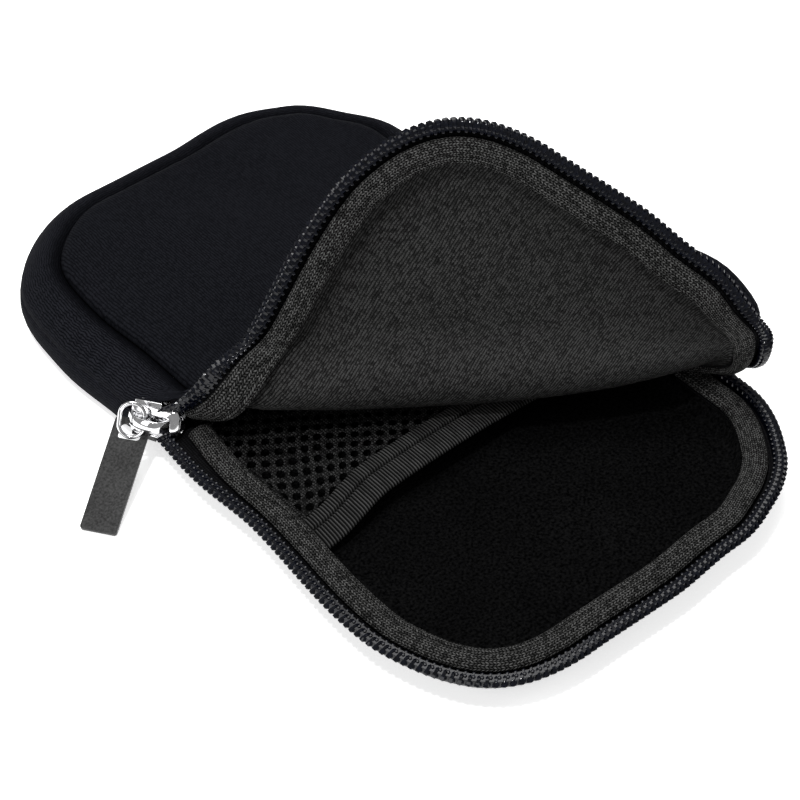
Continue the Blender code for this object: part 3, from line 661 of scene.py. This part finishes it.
# Side band: one strip round the closed end that parts into two at the zipper
bandShape = {
    "upperShut": (
        (0.12, 0.0), (0.6, 1.6), (1.6, 3.1), (2.8, 4.5), (4.1, 5.8), (5.5, 6.8), (7.0, 7.3), (8.5, 7.1),
        (9.8, 6.5), (11.0, 5.7),
    ),
    "upperOpen": (
        (3.4, 5.4), (3.9, 6.2), (4.6, 6.9), (5.4, 7.3), (6.3, 7.5), (7.3, 7.4), (8.3, 7.1), (9.2, 6.7),
        (10.1, 6.2), (11.0, 5.7),
    ),
    "upperPuffed": (
        (3.4, 5.0), (1.2, 4.7), (-0.9, 5.2), (-1.6, 6.3), (-0.6, 7.4), (2.0, 8.2), (5.0, 8.2), (7.6, 7.7),
        (9.5, 6.7), (11.0, 5.7),
    ),
    "lowerShut": (
        (0.12, 0.0), (-0.25, 1.8), (-0.4, 3.8), (-0.1, 5.8), (0.7, 7.6), (2.2, 8.9), (4.4, 9.7), (7.0, 10.0),
        (9.2, 10.05), (10.2, 9.6),
    ),
    "lowerOpen": (
        (3.4, 5.4), (3.7, 6.2), (4.4, 7.1), (5.2, 7.8), (6.1, 8.4), (7.0, 8.9), (8.0, 9.4), (8.9, 9.8),
        (9.7, 9.95), (10.2, 9.6),
    ),
    "neutralInset": 6.0, "nearOpens": (27.0, 14.0), "farOpens": (-46.0, 14.0),
    "puffStarts": 258.0, "puffFull": 308.0, "puffFades": 24.0,
    # where the painted shade on the band's inner slope begins, and how far it takes to grow full
    "thickness": 1.0, "seamShadeFrom": 6.2, "seamShadeOver": 3.4, "outTilt": 0.3,
}


def openShare(x, y):
    first, length = bandShape["nearOpens"] if x < 0 else bandShape["farOpens"]
    return smoothShare((first - y) / length)


def puffShare(run):
    rising = smoothShare((run - bandShape["puffStarts"]) / (bandShape["puffFull"] - bandShape["puffStarts"]))
    return rising * (1 - smoothShare((run - bandShape["puffFull"]) / bandShape["puffFades"]))


def sideBand(name, half, side, bends):
    shut, parted = bandShape[half + "Shut"], bandShape[half + "Open"]
    puffed = bandShape.get(half + "Puffed", parted)
    steps = len(shut) - 1
    bm = ringOf([(bandShape["neutralInset"], float(step)) for step in range(steps + 1)], side, closed=False)
    grooveAndShade = bm.verts.layers.float.new("grooveAndShade")
    for vertex in bm.verts:
        step = min(steps, max(0, round(side * (vertex.co.z - midHeight))))
        inset, outward = rimPlace(vertex.co.x, vertex.co.y)
        share = openShare(vertex.co.x, vertex.co.y)
        puff = puffShare(rimRun(vertex.co.x, vertex.co.y))
        wide = [mix(parted[step][part], puffed[step][part], puff) for part in (0, 1)]
        newInset, newLevel = (mix(shut[step][part], wide[part], share) for part in (0, 1))
        # marks the slope down to the seam, which the band's material darkens with painted shade
        vertex[grooveAndShade] = smoothShare((newInset - bandShape["seamShadeFrom"]) / bandShape["seamShadeOver"])
        vertex.co += outward * (inset - newInset)
        vertex.co.z = midHeight + side * newLevel
    widest = max(bm.faces, key=lambda face: face.calc_area())
    out = rimPlace(*widest.calc_center_median().xy)[1] + Vector((0, 0, bandShape["outTilt"] * side))
    piece = finishPiece(bm, name, cloths["bandKnit"], bends=bends, turned=True, facing=out, sharp=0)
    addThickness(piece, bandShape["thickness"])
    return piece


upperBand = sideBand("upperBand", "upper", 1, True)
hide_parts("near_fold_band", "far_fold_band", "flap_side_band")
lowerBand = sideBand("lowerBand", "lower", -1, False)
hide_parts("tray_side_band", "rear_side_band", "rear_side_foam")
print("side band made")

# Zipper tapes and the stitched rolls beside them
chainShape = {
    "flapStart": 12.5, "trayStart": 13.0, "farEnd": -16.6,
    "tapeLevel": 2.7, "tapeThickness": 0.6, "tapeOuter": 2.2, "tapeInner": 9.8,
    "ridge": (4.7, 4.2, 3.6), "ridgeLevel": 5.2,
    "rollOuter": 4.2, "rollWidth": 5.9, "rollLow": 0.1, "rollBack": 2.95, "rollSides": 32,
    "stitchInset": 8.4, "stitchWidth": 0.45, "stitchDepth": 0.45,
    "flapRollStart": 8.5, "trayRollStart": 10.0, "trayRollDrift": 2.6, "driftFrom": 118.0, "driftOver": 40.0,
}


# Keeps the stretch that is open: from the slider round the open end to the far side of the fold
def cutChain(bm, start):
    cutAway(bm, foldPoint + foldAcross * chainShape["farEnd"], -foldAcross)
    cutAway(bm, Vector((0, start, 0)), Vector((0, 1, 0)))


def tapeProfile():
    low = chainShape["tapeLevel"]
    high = low + chainShape["tapeThickness"]
    outer, inner = chainShape["tapeOuter"], chainShape["tapeInner"]
    ridgeFoot, ridgeInner, ridgeOuter = chainShape["ridge"]
    top = chainShape["ridgeLevel"]
    foot = ((outer, low), (inner, low), (inner, high), (ridgeFoot, high))
    return foot + ((ridgeInner, top), (ridgeOuter, top), (ridgeOuter, high), (outer, high))


def rollProfile():
    points = []
    middle = (chainShape["rollLow"] + chainShape["rollBack"]) / 2
    for step in range(chainShape["rollSides"]):
        angle = 2 * pi * step / chainShape["rollSides"]
        inset = chainShape["rollOuter"] + chainShape["rollWidth"] / 2 * (1 - cos(angle))
        level = middle - sin(angle) * (middle - chainShape["rollLow"])
        if level < middle:
            gap = abs(inset - chainShape["stitchInset"]) / chainShape["stitchWidth"]
            level += chainShape["stitchDepth"] * (1 - smoothShare(gap))
        points.append((inset, level))
    return points


def tape(name, side, start):
    bm = ringOf(tapeProfile(), side)
    cutChain(bm, start)
    return finishPiece(bm, name, cloths["tapeWeave"], bends=side > 0, sharp=50)


def roll(name, side, start, drift):
    bm = ringOf(rollProfile(), side)
    cutChain(bm, start)
    for vertex in bm.verts:
        past = rimRun(vertex.co.x, vertex.co.y) - chainShape["driftFrom"]
        inward = rimPlace(vertex.co.x, vertex.co.y)[1] * -drift
        vertex.co += inward * (1 - smoothShare(past / chainShape["driftOver"]))
    return finishPiece(bm, name, cloths["rollKnit"], bends=side > 0, turned=True, sharp=50)


trayTape = tape("trayTape", -1, chainShape["trayStart"])
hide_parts("tray_zipper_tape")
flapTape = tape("flapTape", 1, chainShape["flapStart"])
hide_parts("near_fold_tape", "far_fold_tape", "flap_zipper_tape")
trayRoll = roll("trayRoll", -1, chainShape["trayRollStart"], chainShape["trayRollDrift"])
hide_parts("tray_edge_roll")
flapRoll = roll("flapRoll", 1, chainShape["flapRollStart"], 0.0)
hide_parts("near_fold_roll", "far_fold_roll", "flap_edge_roll")
print("tapes and rolls made")

# Nylon coils: one turn of wire with its broad head and the stitch that holds it, copied along the rim
coilShape = {
    "pitch": 1.7, "inset": 1.45, "level": 1.35, "width": 3.4, "height": 2.3, "endMargin": 0.6,
    "wire": 0.48, "wireSides": 5, "turnSteps": 8, "headBroad": 0.6, "lean": 0.3,
    "stitchSides": 5, "stitchSize": (0.52, 0.46, 0.42), "stitchPlaces": ((-0.35, 0.82), (-1.35, 0.62)),
    "core": ((0.75, 0.55), (2.6, 0.5), (3.0, 1.35), (3.0, 2.8), (0.9, 2.7), (0.35, 1.35)),
}


# One turn in its own frame: X out to the head, Y along the rim, Z to the side that shows
def oneTurn(bm):
    wire = coilShape["wire"]
    ring = 1.0  # shaped to its real width and height below
    circle = bmesh.ops.create_circle(bm, segments=coilShape["wireSides"], radius=wire)["verts"]
    bmesh.ops.translate(bm, vec=(ring, 0, 0), verts=circle)
    section = circle + bm.edges[:]
    bmesh.ops.spin(
        bm, geom=section, cent=(0, 0, 0), axis=(0, 1, 0), angle=2 * pi, steps=coilShape["turnSteps"], use_merge=True
    )
    halfWidth, halfHeight = coilShape["width"] / 2, coilShape["height"] / 2
    for vertex in bm.verts:
        reach = hypot(vertex.co.x, vertex.co.z)
        way = Vector((vertex.co.x / reach, vertex.co.z / reach))
        head = max(0.0, way.x) ** 2
        thick = reach - ring
        x = way.x * (halfWidth - wire + thick)
        z = way.y * (halfHeight - wire + thick)
        y = vertex.co.y * (1 + coilShape["headBroad"] * head)
        y += coilShape["lean"] * way.y * coilShape["pitch"] / 2
        vertex.co = Vector((x, y, z))
    for x, z in coilShape["stitchPlaces"]:
        sides = coilShape["stitchSides"]
        stitch = bmesh.ops.create_uvsphere(bm, u_segments=sides, v_segments=3, radius=1)["verts"]
        bmesh.ops.scale(bm, vec=coilShape["stitchSize"], verts=stitch)
        bmesh.ops.translate(bm, vec=(x, coilShape["pitch"] / 2, z), verts=stitch)
    bmesh.ops.remove_doubles(bm, verts=bm.verts[:], dist=weld / 10)
    return bm.verts[:] + bm.edges[:] + bm.faces[:]


def coil(name, side, start):
    bm = bmesh.new()
    pattern = oneTurn(bm)
    run = rimRun(-sleeveSize["width"] / 2, start)
    while True:
        place, outward = rimAt(run)
        if run > rimLength / 2 and across(place) < chainShape["farEnd"] + coilShape["endMargin"]:
            break
        ahead = Vector((-outward.y, outward.x, 0))
        centre = place - outward * coilShape["inset"] + Vector((0, 0, midHeight + side * coilShape["level"]))
        turn = Matrix((outward, ahead, Vector((0, 0, -side)))).transposed().to_4x4()
        copied = bmesh.ops.duplicate(bm, geom=pattern)["geom"]
        bmesh.ops.transform(bm, matrix=Matrix.Translation(centre) @ turn, verts=vertsOf(copied))
        run += coilShape["pitch"]
    bmesh.ops.delete(bm, geom=vertsOf(pattern), context="VERTS")
    core = ringOf(coilShape["core"], side)
    cutChain(core, start)
    joinInto(bm, core)
    return finishPiece(bm, name, finishes["coilNylon"], bends=side > 0, sharp=50, patterned=False)


trayCoil = coil("trayCoil", -1, chainShape["trayStart"])
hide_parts("tray_zipper_coil")
flapCoil = coil("flapCoil", 1, chainShape["flapStart"])
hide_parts("near_fold_coil", "far_fold_coil", "flap_zipper_coil")
print("coils made")

# Net pocket with its ribbed hem and the binding that holds it down
pocketShape = {
    "hemFront": -32.6, "hemWidth": 10.6, "hemThickness": 0.5, "hemCrown": 0.6,
    "ribPitch": 0.75, "ribDepth": 0.35, "ribSteps": 4, "hemRows": 26,
    "grooveAt": 0.6, "grooveHalf": 0.06, "grooveDepth": 0.75,
    "flare": 3.2, "flareFrom": 26.0, "flareOver": 18.0, "flareFades": 26.0,
    "arch": 4.5, "inset": 11.0, "level": -3.9, "netThickness": 0.25,
    "cellAlong": 2.85, "cellAcross": 3.0, "columns": 52, "rows": 50, "turn": radians(-39.8), "strand": 0.34,
    "gridMiddle": 28.0, "gridMargin": 3.0, "netTuck": 0.5, "hemLap": 0.6, "cornerCuts": 6,
    "bindingSection": ((-0.4, 0.0), (1.2, 0.0), (1.35, 0.3), (1.0, 0.6), (-0.4, 0.6)), "bindingStart": 0.5,
}


def halfRoom(y, inset):
    radius = cornerRadius - inset
    past = max(0.0, y - straightY)
    return straightX + max(radius * radius - past * past, 0.0) ** 0.5


def pocketRise(x, y):
    end = sleeveSize["length"] / 2 - pocketShape["inset"]
    acrossShare = 1 - (x / max(1.0, halfRoom(min(y, end - 1), pocketShape["inset"]))) ** 2
    alongShare = 1 - (y - pocketShape["hemFront"]) / (end - pocketShape["hemFront"])
    return pocketShape["arch"] * max(acrossShare, 0.0) * max(alongShare, 0.0)


def liftPocket(bm):
    for vertex in bm.verts:
        vertex.co.z += midHeight + pocketShape["level"] + pocketRise(vertex.co.x, vertex.co.y)


# How far the hem and the net beside it are drawn to the front where the near end is sewn in
def flared(x, behind):
    share = smoothShare((-x - pocketShape["flareFrom"]) / pocketShape["flareOver"])
    return pocketShape["flare"] * share * (1 - smoothShare(behind / pocketShape["flareFades"]))


def pocketNet():
    bm = bmesh.new()
    columns, rows = pocketShape["columns"], pocketShape["rows"]
    bmesh.ops.create_grid(bm, x_segments=columns, y_segments=rows, size=1)
    half = Vector((columns * pocketShape["cellAlong"] / 2, rows * pocketShape["cellAcross"] / 2, 1))
    bmesh.ops.scale(bm, vec=half, verts=bm.verts[:])
    bmesh.ops.rotate(bm, cent=(0, 0, 0), matrix=Matrix.Rotation(pocketShape["turn"], 3, "Z"), verts=bm.verts[:])
    bmesh.ops.translate(bm, vec=(0, pocketShape["gridMiddle"], 0), verts=bm.verts[:])
    kept = pocketShape["inset"] - pocketShape["gridMargin"]
    outside = []
    for face in bm.faces:
        centre = face.calc_center_median()
        if rimPlace(centre.x, centre.y)[0] < kept or centre.y < pocketShape["hemFront"]:
            outside.append(face)
    bmesh.ops.delete(bm, geom=outside, context="FACES")
    cells = bm.faces[:]
    bmesh.ops.inset_individual(bm, faces=cells, thickness=pocketShape["strand"], use_even_offset=True)
    bmesh.ops.delete(bm, geom=cells, context="FACES")
    radius = cornerRadius - pocketShape["inset"] - pocketShape["netTuck"]
    hemBack = pocketShape["hemFront"] + pocketShape["hemWidth"]
    cutAway(bm, Vector((0, hemBack - pocketShape["hemLap"], 0)), Vector((0, -1, 0)), fill=False)
    for side in (-1, 1):
        for step in range(pocketShape["cornerCuts"] + 1):
            turn = pi / 2 * step / pocketShape["cornerCuts"]
            way = Vector((side * cos(turn), sin(turn), 0))
            cutAway(bm, Vector((side * straightX, straightY, 0)) + way * radius, way, fill=False)
    for vertex in bm.verts:
        vertex.co.y -= flared(vertex.co.x, vertex.co.y - hemBack)
    liftPocket(bm)
    piece = finishPiece(bm, "pocketNet", cloths["netNylon"], byRim=False, facing=(0, 0, 1), sharp=0)
    addModifier(piece, "SUBSURF", "roundHoles", levels=1, render_levels=1)
    addThickness(piece, pocketShape["netThickness"], offset=1.0)
    return piece


def pocketHem():
    bm = bmesh.new()
    front, width, pitch = pocketShape["hemFront"], pocketShape["hemWidth"], pocketShape["ribPitch"]
    ribs = round(2 * halfRoom(front, pocketShape["inset"]) / pitch)
    bmesh.ops.create_grid(
        bm, x_segments=ribs * pocketShape["ribSteps"], y_segments=pocketShape["hemRows"], size=1
    )
    sunk = bm.verts.layers.float.new("grooveAndShade")
    for vertex in bm.verts:
        share = (vertex.co.y + 1) / 2
        x = vertex.co.x * ribs * pitch / 2
        rib = 0.5 - 0.5 * cos(2 * pi * x / pitch)
        # the stitch line is sunk in shape, and the same mark darkens it with painted shade
        grooveAndShade = 1 - min(1.0, abs(share - pocketShape["grooveAt"]) / pocketShape["grooveHalf"])
        vertex[sunk] = smoothShare(grooveAndShade)
        crown = (1 - abs(2 * share - 1) ** 6) ** 0.5
        rise = crown * (pocketShape["hemCrown"] + pocketShape["ribDepth"] * rib)
        rise -= pocketShape["grooveDepth"] * vertex[sunk]
        vertex.co = Vector((x, front + width * share - flared(x, 0), rise))
    liftPocket(bm)
    piece = finishPiece(bm, "pocketHem", cloths["hemRib"], byRim=False, facing=(0, 0, 1), sharp=0)
    addThickness(piece, pocketShape["hemThickness"])
    return piece


def pocketBinding():
    low = -pocketShape["level"]
    section = [(pocketShape["inset"] + inward, low - drop) for inward, drop in pocketShape["bindingSection"]]
    bm = ringOf(section, -1)
    start = pocketShape["hemFront"] + pocketShape["bindingStart"]
    cutAway(bm, Vector((0, start, 0)), Vector((0, -1, 0)))
    return finishPiece(bm, "pocketBinding", cloths["netNylon"], sharp=50)


netPiece = pocketNet()
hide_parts("mesh_pocket")
hemPiece = pocketHem()
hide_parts("pocket_hem")
bindingPiece = pocketBinding()
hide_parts("pocket_binding")
print("net pocket made")

# The slider, in its own frame: X towards its mouth, Y across it, Z out of its front plate
sliderShape = {
    "yaw": radians(-60), "tilt": radians(65), "place": (-53.6, 17.2, 10.1),
    "rear": -6.5, "mouth": 5.5, "rearHalf": 4.45, "mouthHalf": 4.1, "taper": 1.2,
    "rearRound": 1.8, "mouthRound": 1.7, "endDrop": 0.35, "plateSteps": (18, 16),
    "halfHeight": 2.2, "plate": 0.65, "crown": 0.45, "lip": 1.1, "bodyBevel": 0.14,
    "noseRear": 0.8, "noseFront": 5.7, "noseWidth": 2.8, "noseRearWidth": 0.7, "noseSink": 0.5,
    "guardAlong": (-5.6, 0.9), "guardAcross": (3.5, 4.75), "guardLevel": (0.9, 2.45), "guardTaper": 0.92,
    "bridgeArch": (
        (-6.9, 1.2), (-6.75, 2.6), (-6.0, 4.0), (-4.7, 5.2), (-2.8, 6.0), (-0.6, 6.3), (1.2, 6.0), (2.5, 5.1),
        (3.3, 3.8), (3.6, 2.5),
    ),
    "bridgeWidth": 2.7, "bridgeThickness": 0.75, "bridgeFlare": 0.2, "bridgeCrown": 0.3, "bridgeBevel": 0.16,
    "archSteps": 3, "acrossSteps": 6,
}
sliderTurn = (
    Matrix.Translation(sliderShape["place"])
    @ Matrix.Rotation(sliderShape["yaw"], 4, "Z")
    @ Matrix.Rotation(sliderShape["tilt"], 4, "X")
)


# Presses a flat patch into a thin plate, on the side away from where it faces
def thicken(bm, vec):
    pressed = bmesh.ops.extrude_face_region(bm, geom=bm.faces[:])
    bmesh.ops.translate(bm, vec=vec, verts=vertsOf(pressed["geom"]))


def softEdges(piece, width):
    values = {"segments": 2, "limit_method": "ANGLE", "angle_limit": radians(35)}
    addModifier(piece, "BEVEL", "softEdges", width=width * mm, **values)


def metalPiece(bm, name, material, matrix, body, bevel):
    bmesh.ops.transform(bm, matrix=matrix, verts=bm.verts[:])
    piece = finishPiece(bm, name, material, body=body, patterned=False, soft=False, sharp=35)
    if bevel:
        softEdges(piece, bevel)
    return piece


def sliderPlate(face):
    bm = bmesh.new()
    alongSteps, acrossSteps = sliderShape["plateSteps"]
    bmesh.ops.create_grid(bm, x_segments=alongSteps, y_segments=acrossSteps, size=1)
    for vertex in bm.verts:
        along, side = (vertex.co.x + 1) / 2, vertex.co.y
        half = mix(sliderShape["rearHalf"], sliderShape["mouthHalf"], smoothShare(along * sliderShape["taper"]))
        x = mix(sliderShape["rear"], sliderShape["mouth"], along)
        x += sliderShape["rearRound"] * (1 - along) ** 2 * side**4
        x -= sliderShape["mouthRound"] * along**2 * side**4
        ends = 1 - abs(2 * along - 1) ** 6
        level = sliderShape["halfHeight"] + sliderShape["crown"] * (1 - side * side) * ends
        level -= sliderShape["lip"] * abs(side) ** 7 + sliderShape["endDrop"] * (1 - ends)
        vertex.co = Vector((x, half * side, face * level))
    thicken(bm, (0, 0, -face * sliderShape["plate"]))
    return bm


def sliderBody():
    bm = sliderPlate(1)
    joinInto(bm, sliderPlate(-1))
    nose = bmesh.ops.create_cube(bm, size=1)["verts"]
    for vertex in nose:
        front = vertex.co.x > 0
        x = sliderShape["noseFront"] if front else sliderShape["noseRear"]
        width = sliderShape["noseWidth"] if front else sliderShape["noseRearWidth"]
        height = 2 * (sliderShape["halfHeight"] - sliderShape["noseSink"])
        vertex.co = Vector((x, vertex.co.y * width, vertex.co.z * height))
    for side in (-1, 1):
        for face in (-1, 1):
            guard = bmesh.ops.create_cube(bm, size=1)["verts"]
            for vertex in guard:
                x = sliderShape["guardAlong"][vertex.co.x > 0]
                y = side * sliderShape["guardAcross"][vertex.co.y * side > 0]
                z = face * sliderShape["guardLevel"][vertex.co.z * face > 0]
                vertex.co = Vector((x, y * (1.0 if x > 0 else sliderShape["guardTaper"]), z))
    return metalPiece(bm, "sliderBody", finishes["sliderChrome"], sliderTurn, "slider", sliderShape["bodyBevel"])


def sliderBridge():
    bm = bmesh.new()
    arch = sliderShape["bridgeArch"]
    spans = len(arch) - 1
    bmesh.ops.create_grid(
        bm, x_segments=spans * sliderShape["archSteps"], y_segments=sliderShape["acrossSteps"], size=1
    )
    for vertex in bm.verts:
        step = (vertex.co.x + 1) / 2 * spans
        first = min(int(step), spans - 1)
        before, after = Vector(arch[max(first - 1, 0)]), Vector(arch[min(first + 2, spans)])
        start, end = Vector(arch[first]), Vector(arch[first + 1])
        share = step - first
        leave, arrive = (end - before) / 2, (after - start) / 2
        place = start * (1 + 2 * share) * (1 - share) ** 2 + end * (3 - 2 * share) * share**2
        place += leave * share * (1 - share) ** 2 - arrive * share**2 * (1 - share)
        side = vertex.co.y
        flare = sliderShape["bridgeFlare"] * abs(2 * step / spans - 1) ** 3
        half = sliderShape["bridgeWidth"] / 2 * (1 + flare)
        vertex.co = Vector((place.x, side * half, place.y - sliderShape["bridgeCrown"] * side * side))
    bmesh.ops.transform(bm, matrix=sliderTurn, verts=bm.verts[:])
    outward = sliderTurn.to_3x3() @ Vector((0, 0, 1))
    chrome = finishes["sliderChrome"]
    piece = finishPiece(
        bm, "sliderBridge", chrome, body="slider", patterned=False, soft=False, facing=outward, sharp=35
    )
    addThickness(piece, sliderShape["bridgeThickness"])
    softEdges(piece, sliderShape["bridgeBevel"])
    return piece


bodyPiece = sliderBody()
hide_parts("slider_body")
bridgePiece = sliderBridge()
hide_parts("slider_bridge")

# The ring through the bridge, and the pull tab on the ring
pullShape = {
    "pivot": (-2.2, 0.0, 4.1), "swing": radians(14), "barPlace": (-3.0, -4.2, 0.0),
    "ringWidth": 5.6, "ringHeight": 8.3, "ringWire": 0.5, "wireSides": 12, "bendSteps": 16,
    "tabYaw": radians(35.6 - 90), "tabLength": 24.0, "tabThickness": 1.0,
    "tabColumns": (-4.3, -2.7, 2.7, 4.3), "tabRows": (-24.0, -0.7, 3.2, 4.6),
    "tabCorner": 0.7, "windowCorner": 0.9, "cornerSteps": 4, "tabBevel": 0.16,
}
linkTurn = (
    sliderTurn
    @ Matrix.Translation(pullShape["pivot"])
    @ Matrix.Rotation(pullShape["swing"], 4, "Y")
)
barPoint = linkTurn @ Vector(pullShape["barPlace"])
tabSlope = asin((barPoint.z - pullShape["tabThickness"] / 2) / pullShape["tabLength"])
tabTurn = (
    Matrix.Translation(barPoint)
    @ Matrix.Rotation(pullShape["tabYaw"], 4, "Z")
    @ Matrix.Rotation(tabSlope, 4, "X")
)


def pullRing():
    bm = bmesh.new()
    radius = pullShape["ringWidth"] / 2
    straight = pullShape["ringHeight"] - pullShape["ringWidth"]
    wire, sides, bendSteps = (pullShape[key] for key in ("ringWire", "wireSides", "bendSteps"))
    circle = bmesh.ops.create_circle(bm, segments=sides, radius=wire)["verts"]
    bmesh.ops.rotate(bm, cent=(0, 0, 0), matrix=Matrix.Rotation(pi / 2, 3, "X"), verts=circle)
    bmesh.ops.translate(bm, vec=(0, -straight / 2, 0), verts=circle)
    section = circle + bm.edges[:]
    for way in (1, -1):
        side = bmesh.ops.extrude_edge_only(bm, edges=edgesOf(section))["geom"]
        bmesh.ops.translate(bm, vec=(0, way * straight, 0), verts=vertsOf(side))
        section = vertsOf(side) + edgesOf(side)
        centre = (-radius, way * straight / 2, 0)
        bend = bmesh.ops.spin(bm, geom=section, cent=centre, axis=(0, 0, 1), angle=pi, steps=bendSteps)
        section = bend["geom_last"]
    bmesh.ops.remove_doubles(bm, verts=bm.verts[:], dist=weld)
    return metalPiece(bm, "pullRing", finishes["sliderChrome"], linkTurn, "link", 0)


def pullTab():
    bm = bmesh.new()
    bmesh.ops.create_grid(bm, x_segments=3, y_segments=3, size=1)
    for vertex in bm.verts:
        column, row = (round((part + 1) * 1.5) for part in vertex.co.xy)
        vertex.co = Vector((pullShape["tabColumns"][column], pullShape["tabRows"][row], 0))
    window = [face for face in bm.faces if all(edge.is_manifold for edge in face.edges)]
    inner = list({vert for face in window for vert in face.verts})
    bmesh.ops.delete(bm, geom=window, context="FACES")
    outer = [vert for vert in bm.verts if len(vert.link_faces) == 1]
    for corners, offset in ((inner, pullShape["windowCorner"]), (outer, pullShape["tabCorner"])):
        steps = pullShape["cornerSteps"]
        bmesh.ops.bevel(
            bm, geom=corners, offset=offset, segments=steps, profile=0.5, affect="VERTICES", material=-1
        )
    bmesh.ops.translate(bm, vec=(0, 0, pullShape["tabThickness"] / 2), verts=bm.verts[:])
    thicken(bm, (0, 0, -pullShape["tabThickness"]))
    return metalPiece(bm, "pullTab", finishes["tabFace"], tabTurn, "tab", pullShape["tabBevel"])


ringPiece = pullRing()
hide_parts("pull_link")
tabPiece = pullTab()
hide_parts("pull_tab")
print("slider and pull made")

# Camera, lights and floor
cameraView = {
    "place": (-0.2624, -0.31835, 0.3945),
    "right": (0.7681, -0.6403, 0.0),
    "up": (0.4450, 0.5338, 0.7191),
    "lens": 108.72, "sensor": 36.0, "clips": (0.01, 10.0),
}
studioLights = {
    "overhead": {"place": (0.1, 0.25, 0.9), "aim": (0, 0, 0), "size": (0.6, 0.6), "power": 5.0},
    "leftFill": {"place": (-0.9, 0.0, 0.5), "aim": (0, 0, 0.02), "size": (0.4, 0.7), "power": 2.2},
    "rightFill": {"place": (0.8, -0.5, 0.6), "aim": (0, 0, 0.02), "size": (0.4, 0.4), "power": 1.7},
    "sparkle": {"place": (-0.25, -0.1, 0.7), "aim": (0, -0.02, 0.02), "size": (0.05, 0.05), "power": 2.2},
}
floorLook = {
    "size": 3.0, "drop": -0.0002, "colour": (0.92, 0.92, 0.92), "roughness": 0.9, "glow": 0.65, "worldStrength": 0.28,
}


def makeCamera():
    data = bpy.data.cameras.new("camera")
    data.lens = cameraView["lens"]
    data.sensor_width = cameraView["sensor"]
    data.clip_start, data.clip_end = cameraView["clips"]
    camera = placeObject("camera", data)
    right, upward = Vector(cameraView["right"]), Vector(cameraView["up"])
    turn = Matrix((right, upward, right.cross(upward))).transposed().to_4x4()
    camera.matrix_world = Matrix.Translation(cameraView["place"]) @ turn
    bpy.context.scene.camera = camera


def makeLight(name, values):
    data = bpy.data.lights.new(name, "AREA")
    data.shape = "RECTANGLE"
    data.size, data.size_y = values["size"]
    data.energy = values["power"]
    light = placeObject(name, data)
    light.location = values["place"]
    light.rotation_mode = "QUATERNION"
    light.rotation_quaternion = (Vector(values["aim"]) - Vector(values["place"])).to_track_quat("-Z", "Y")


def makeFloor():
    bm = bmesh.new()
    bmesh.ops.create_grid(bm, x_segments=1, y_segments=1, size=floorLook["size"])
    bmesh.ops.translate(bm, vec=(0, 0, floorLook["drop"]), verts=bm.verts[:])
    mesh = bpy.data.meshes.new("paleFloor")
    bm.to_mesh(mesh)
    bm.free()
    floor = placeObject("paleFloor", mesh)
    paint, _, shader = newMaterial("floorPaint")
    shader.inputs["Base Color"].default_value = (*floorLook["colour"], 1)
    shader.inputs["Roughness"].default_value = floorLook["roughness"]
    shader.inputs["Emission Color"].default_value = (1, 1, 1, 1)
    shader.inputs["Emission Strength"].default_value = floorLook["glow"]
    mesh.materials.append(paint)


makeCamera()
for lightName, lightValues in studioLights.items():
    makeLight(lightName, lightValues)
makeFloor()
world = bpy.data.worlds.new("softWhite")
bpy.context.scene.world = world
world.use_nodes = True
background = world.node_tree.nodes["Background"].inputs
background["Color"].default_value = (1, 1, 1, 1)
background["Strength"].default_value = floorLook["worldStrength"]
bpy.context.scene.view_settings.view_transform = "Standard"
print("camera and lights made")
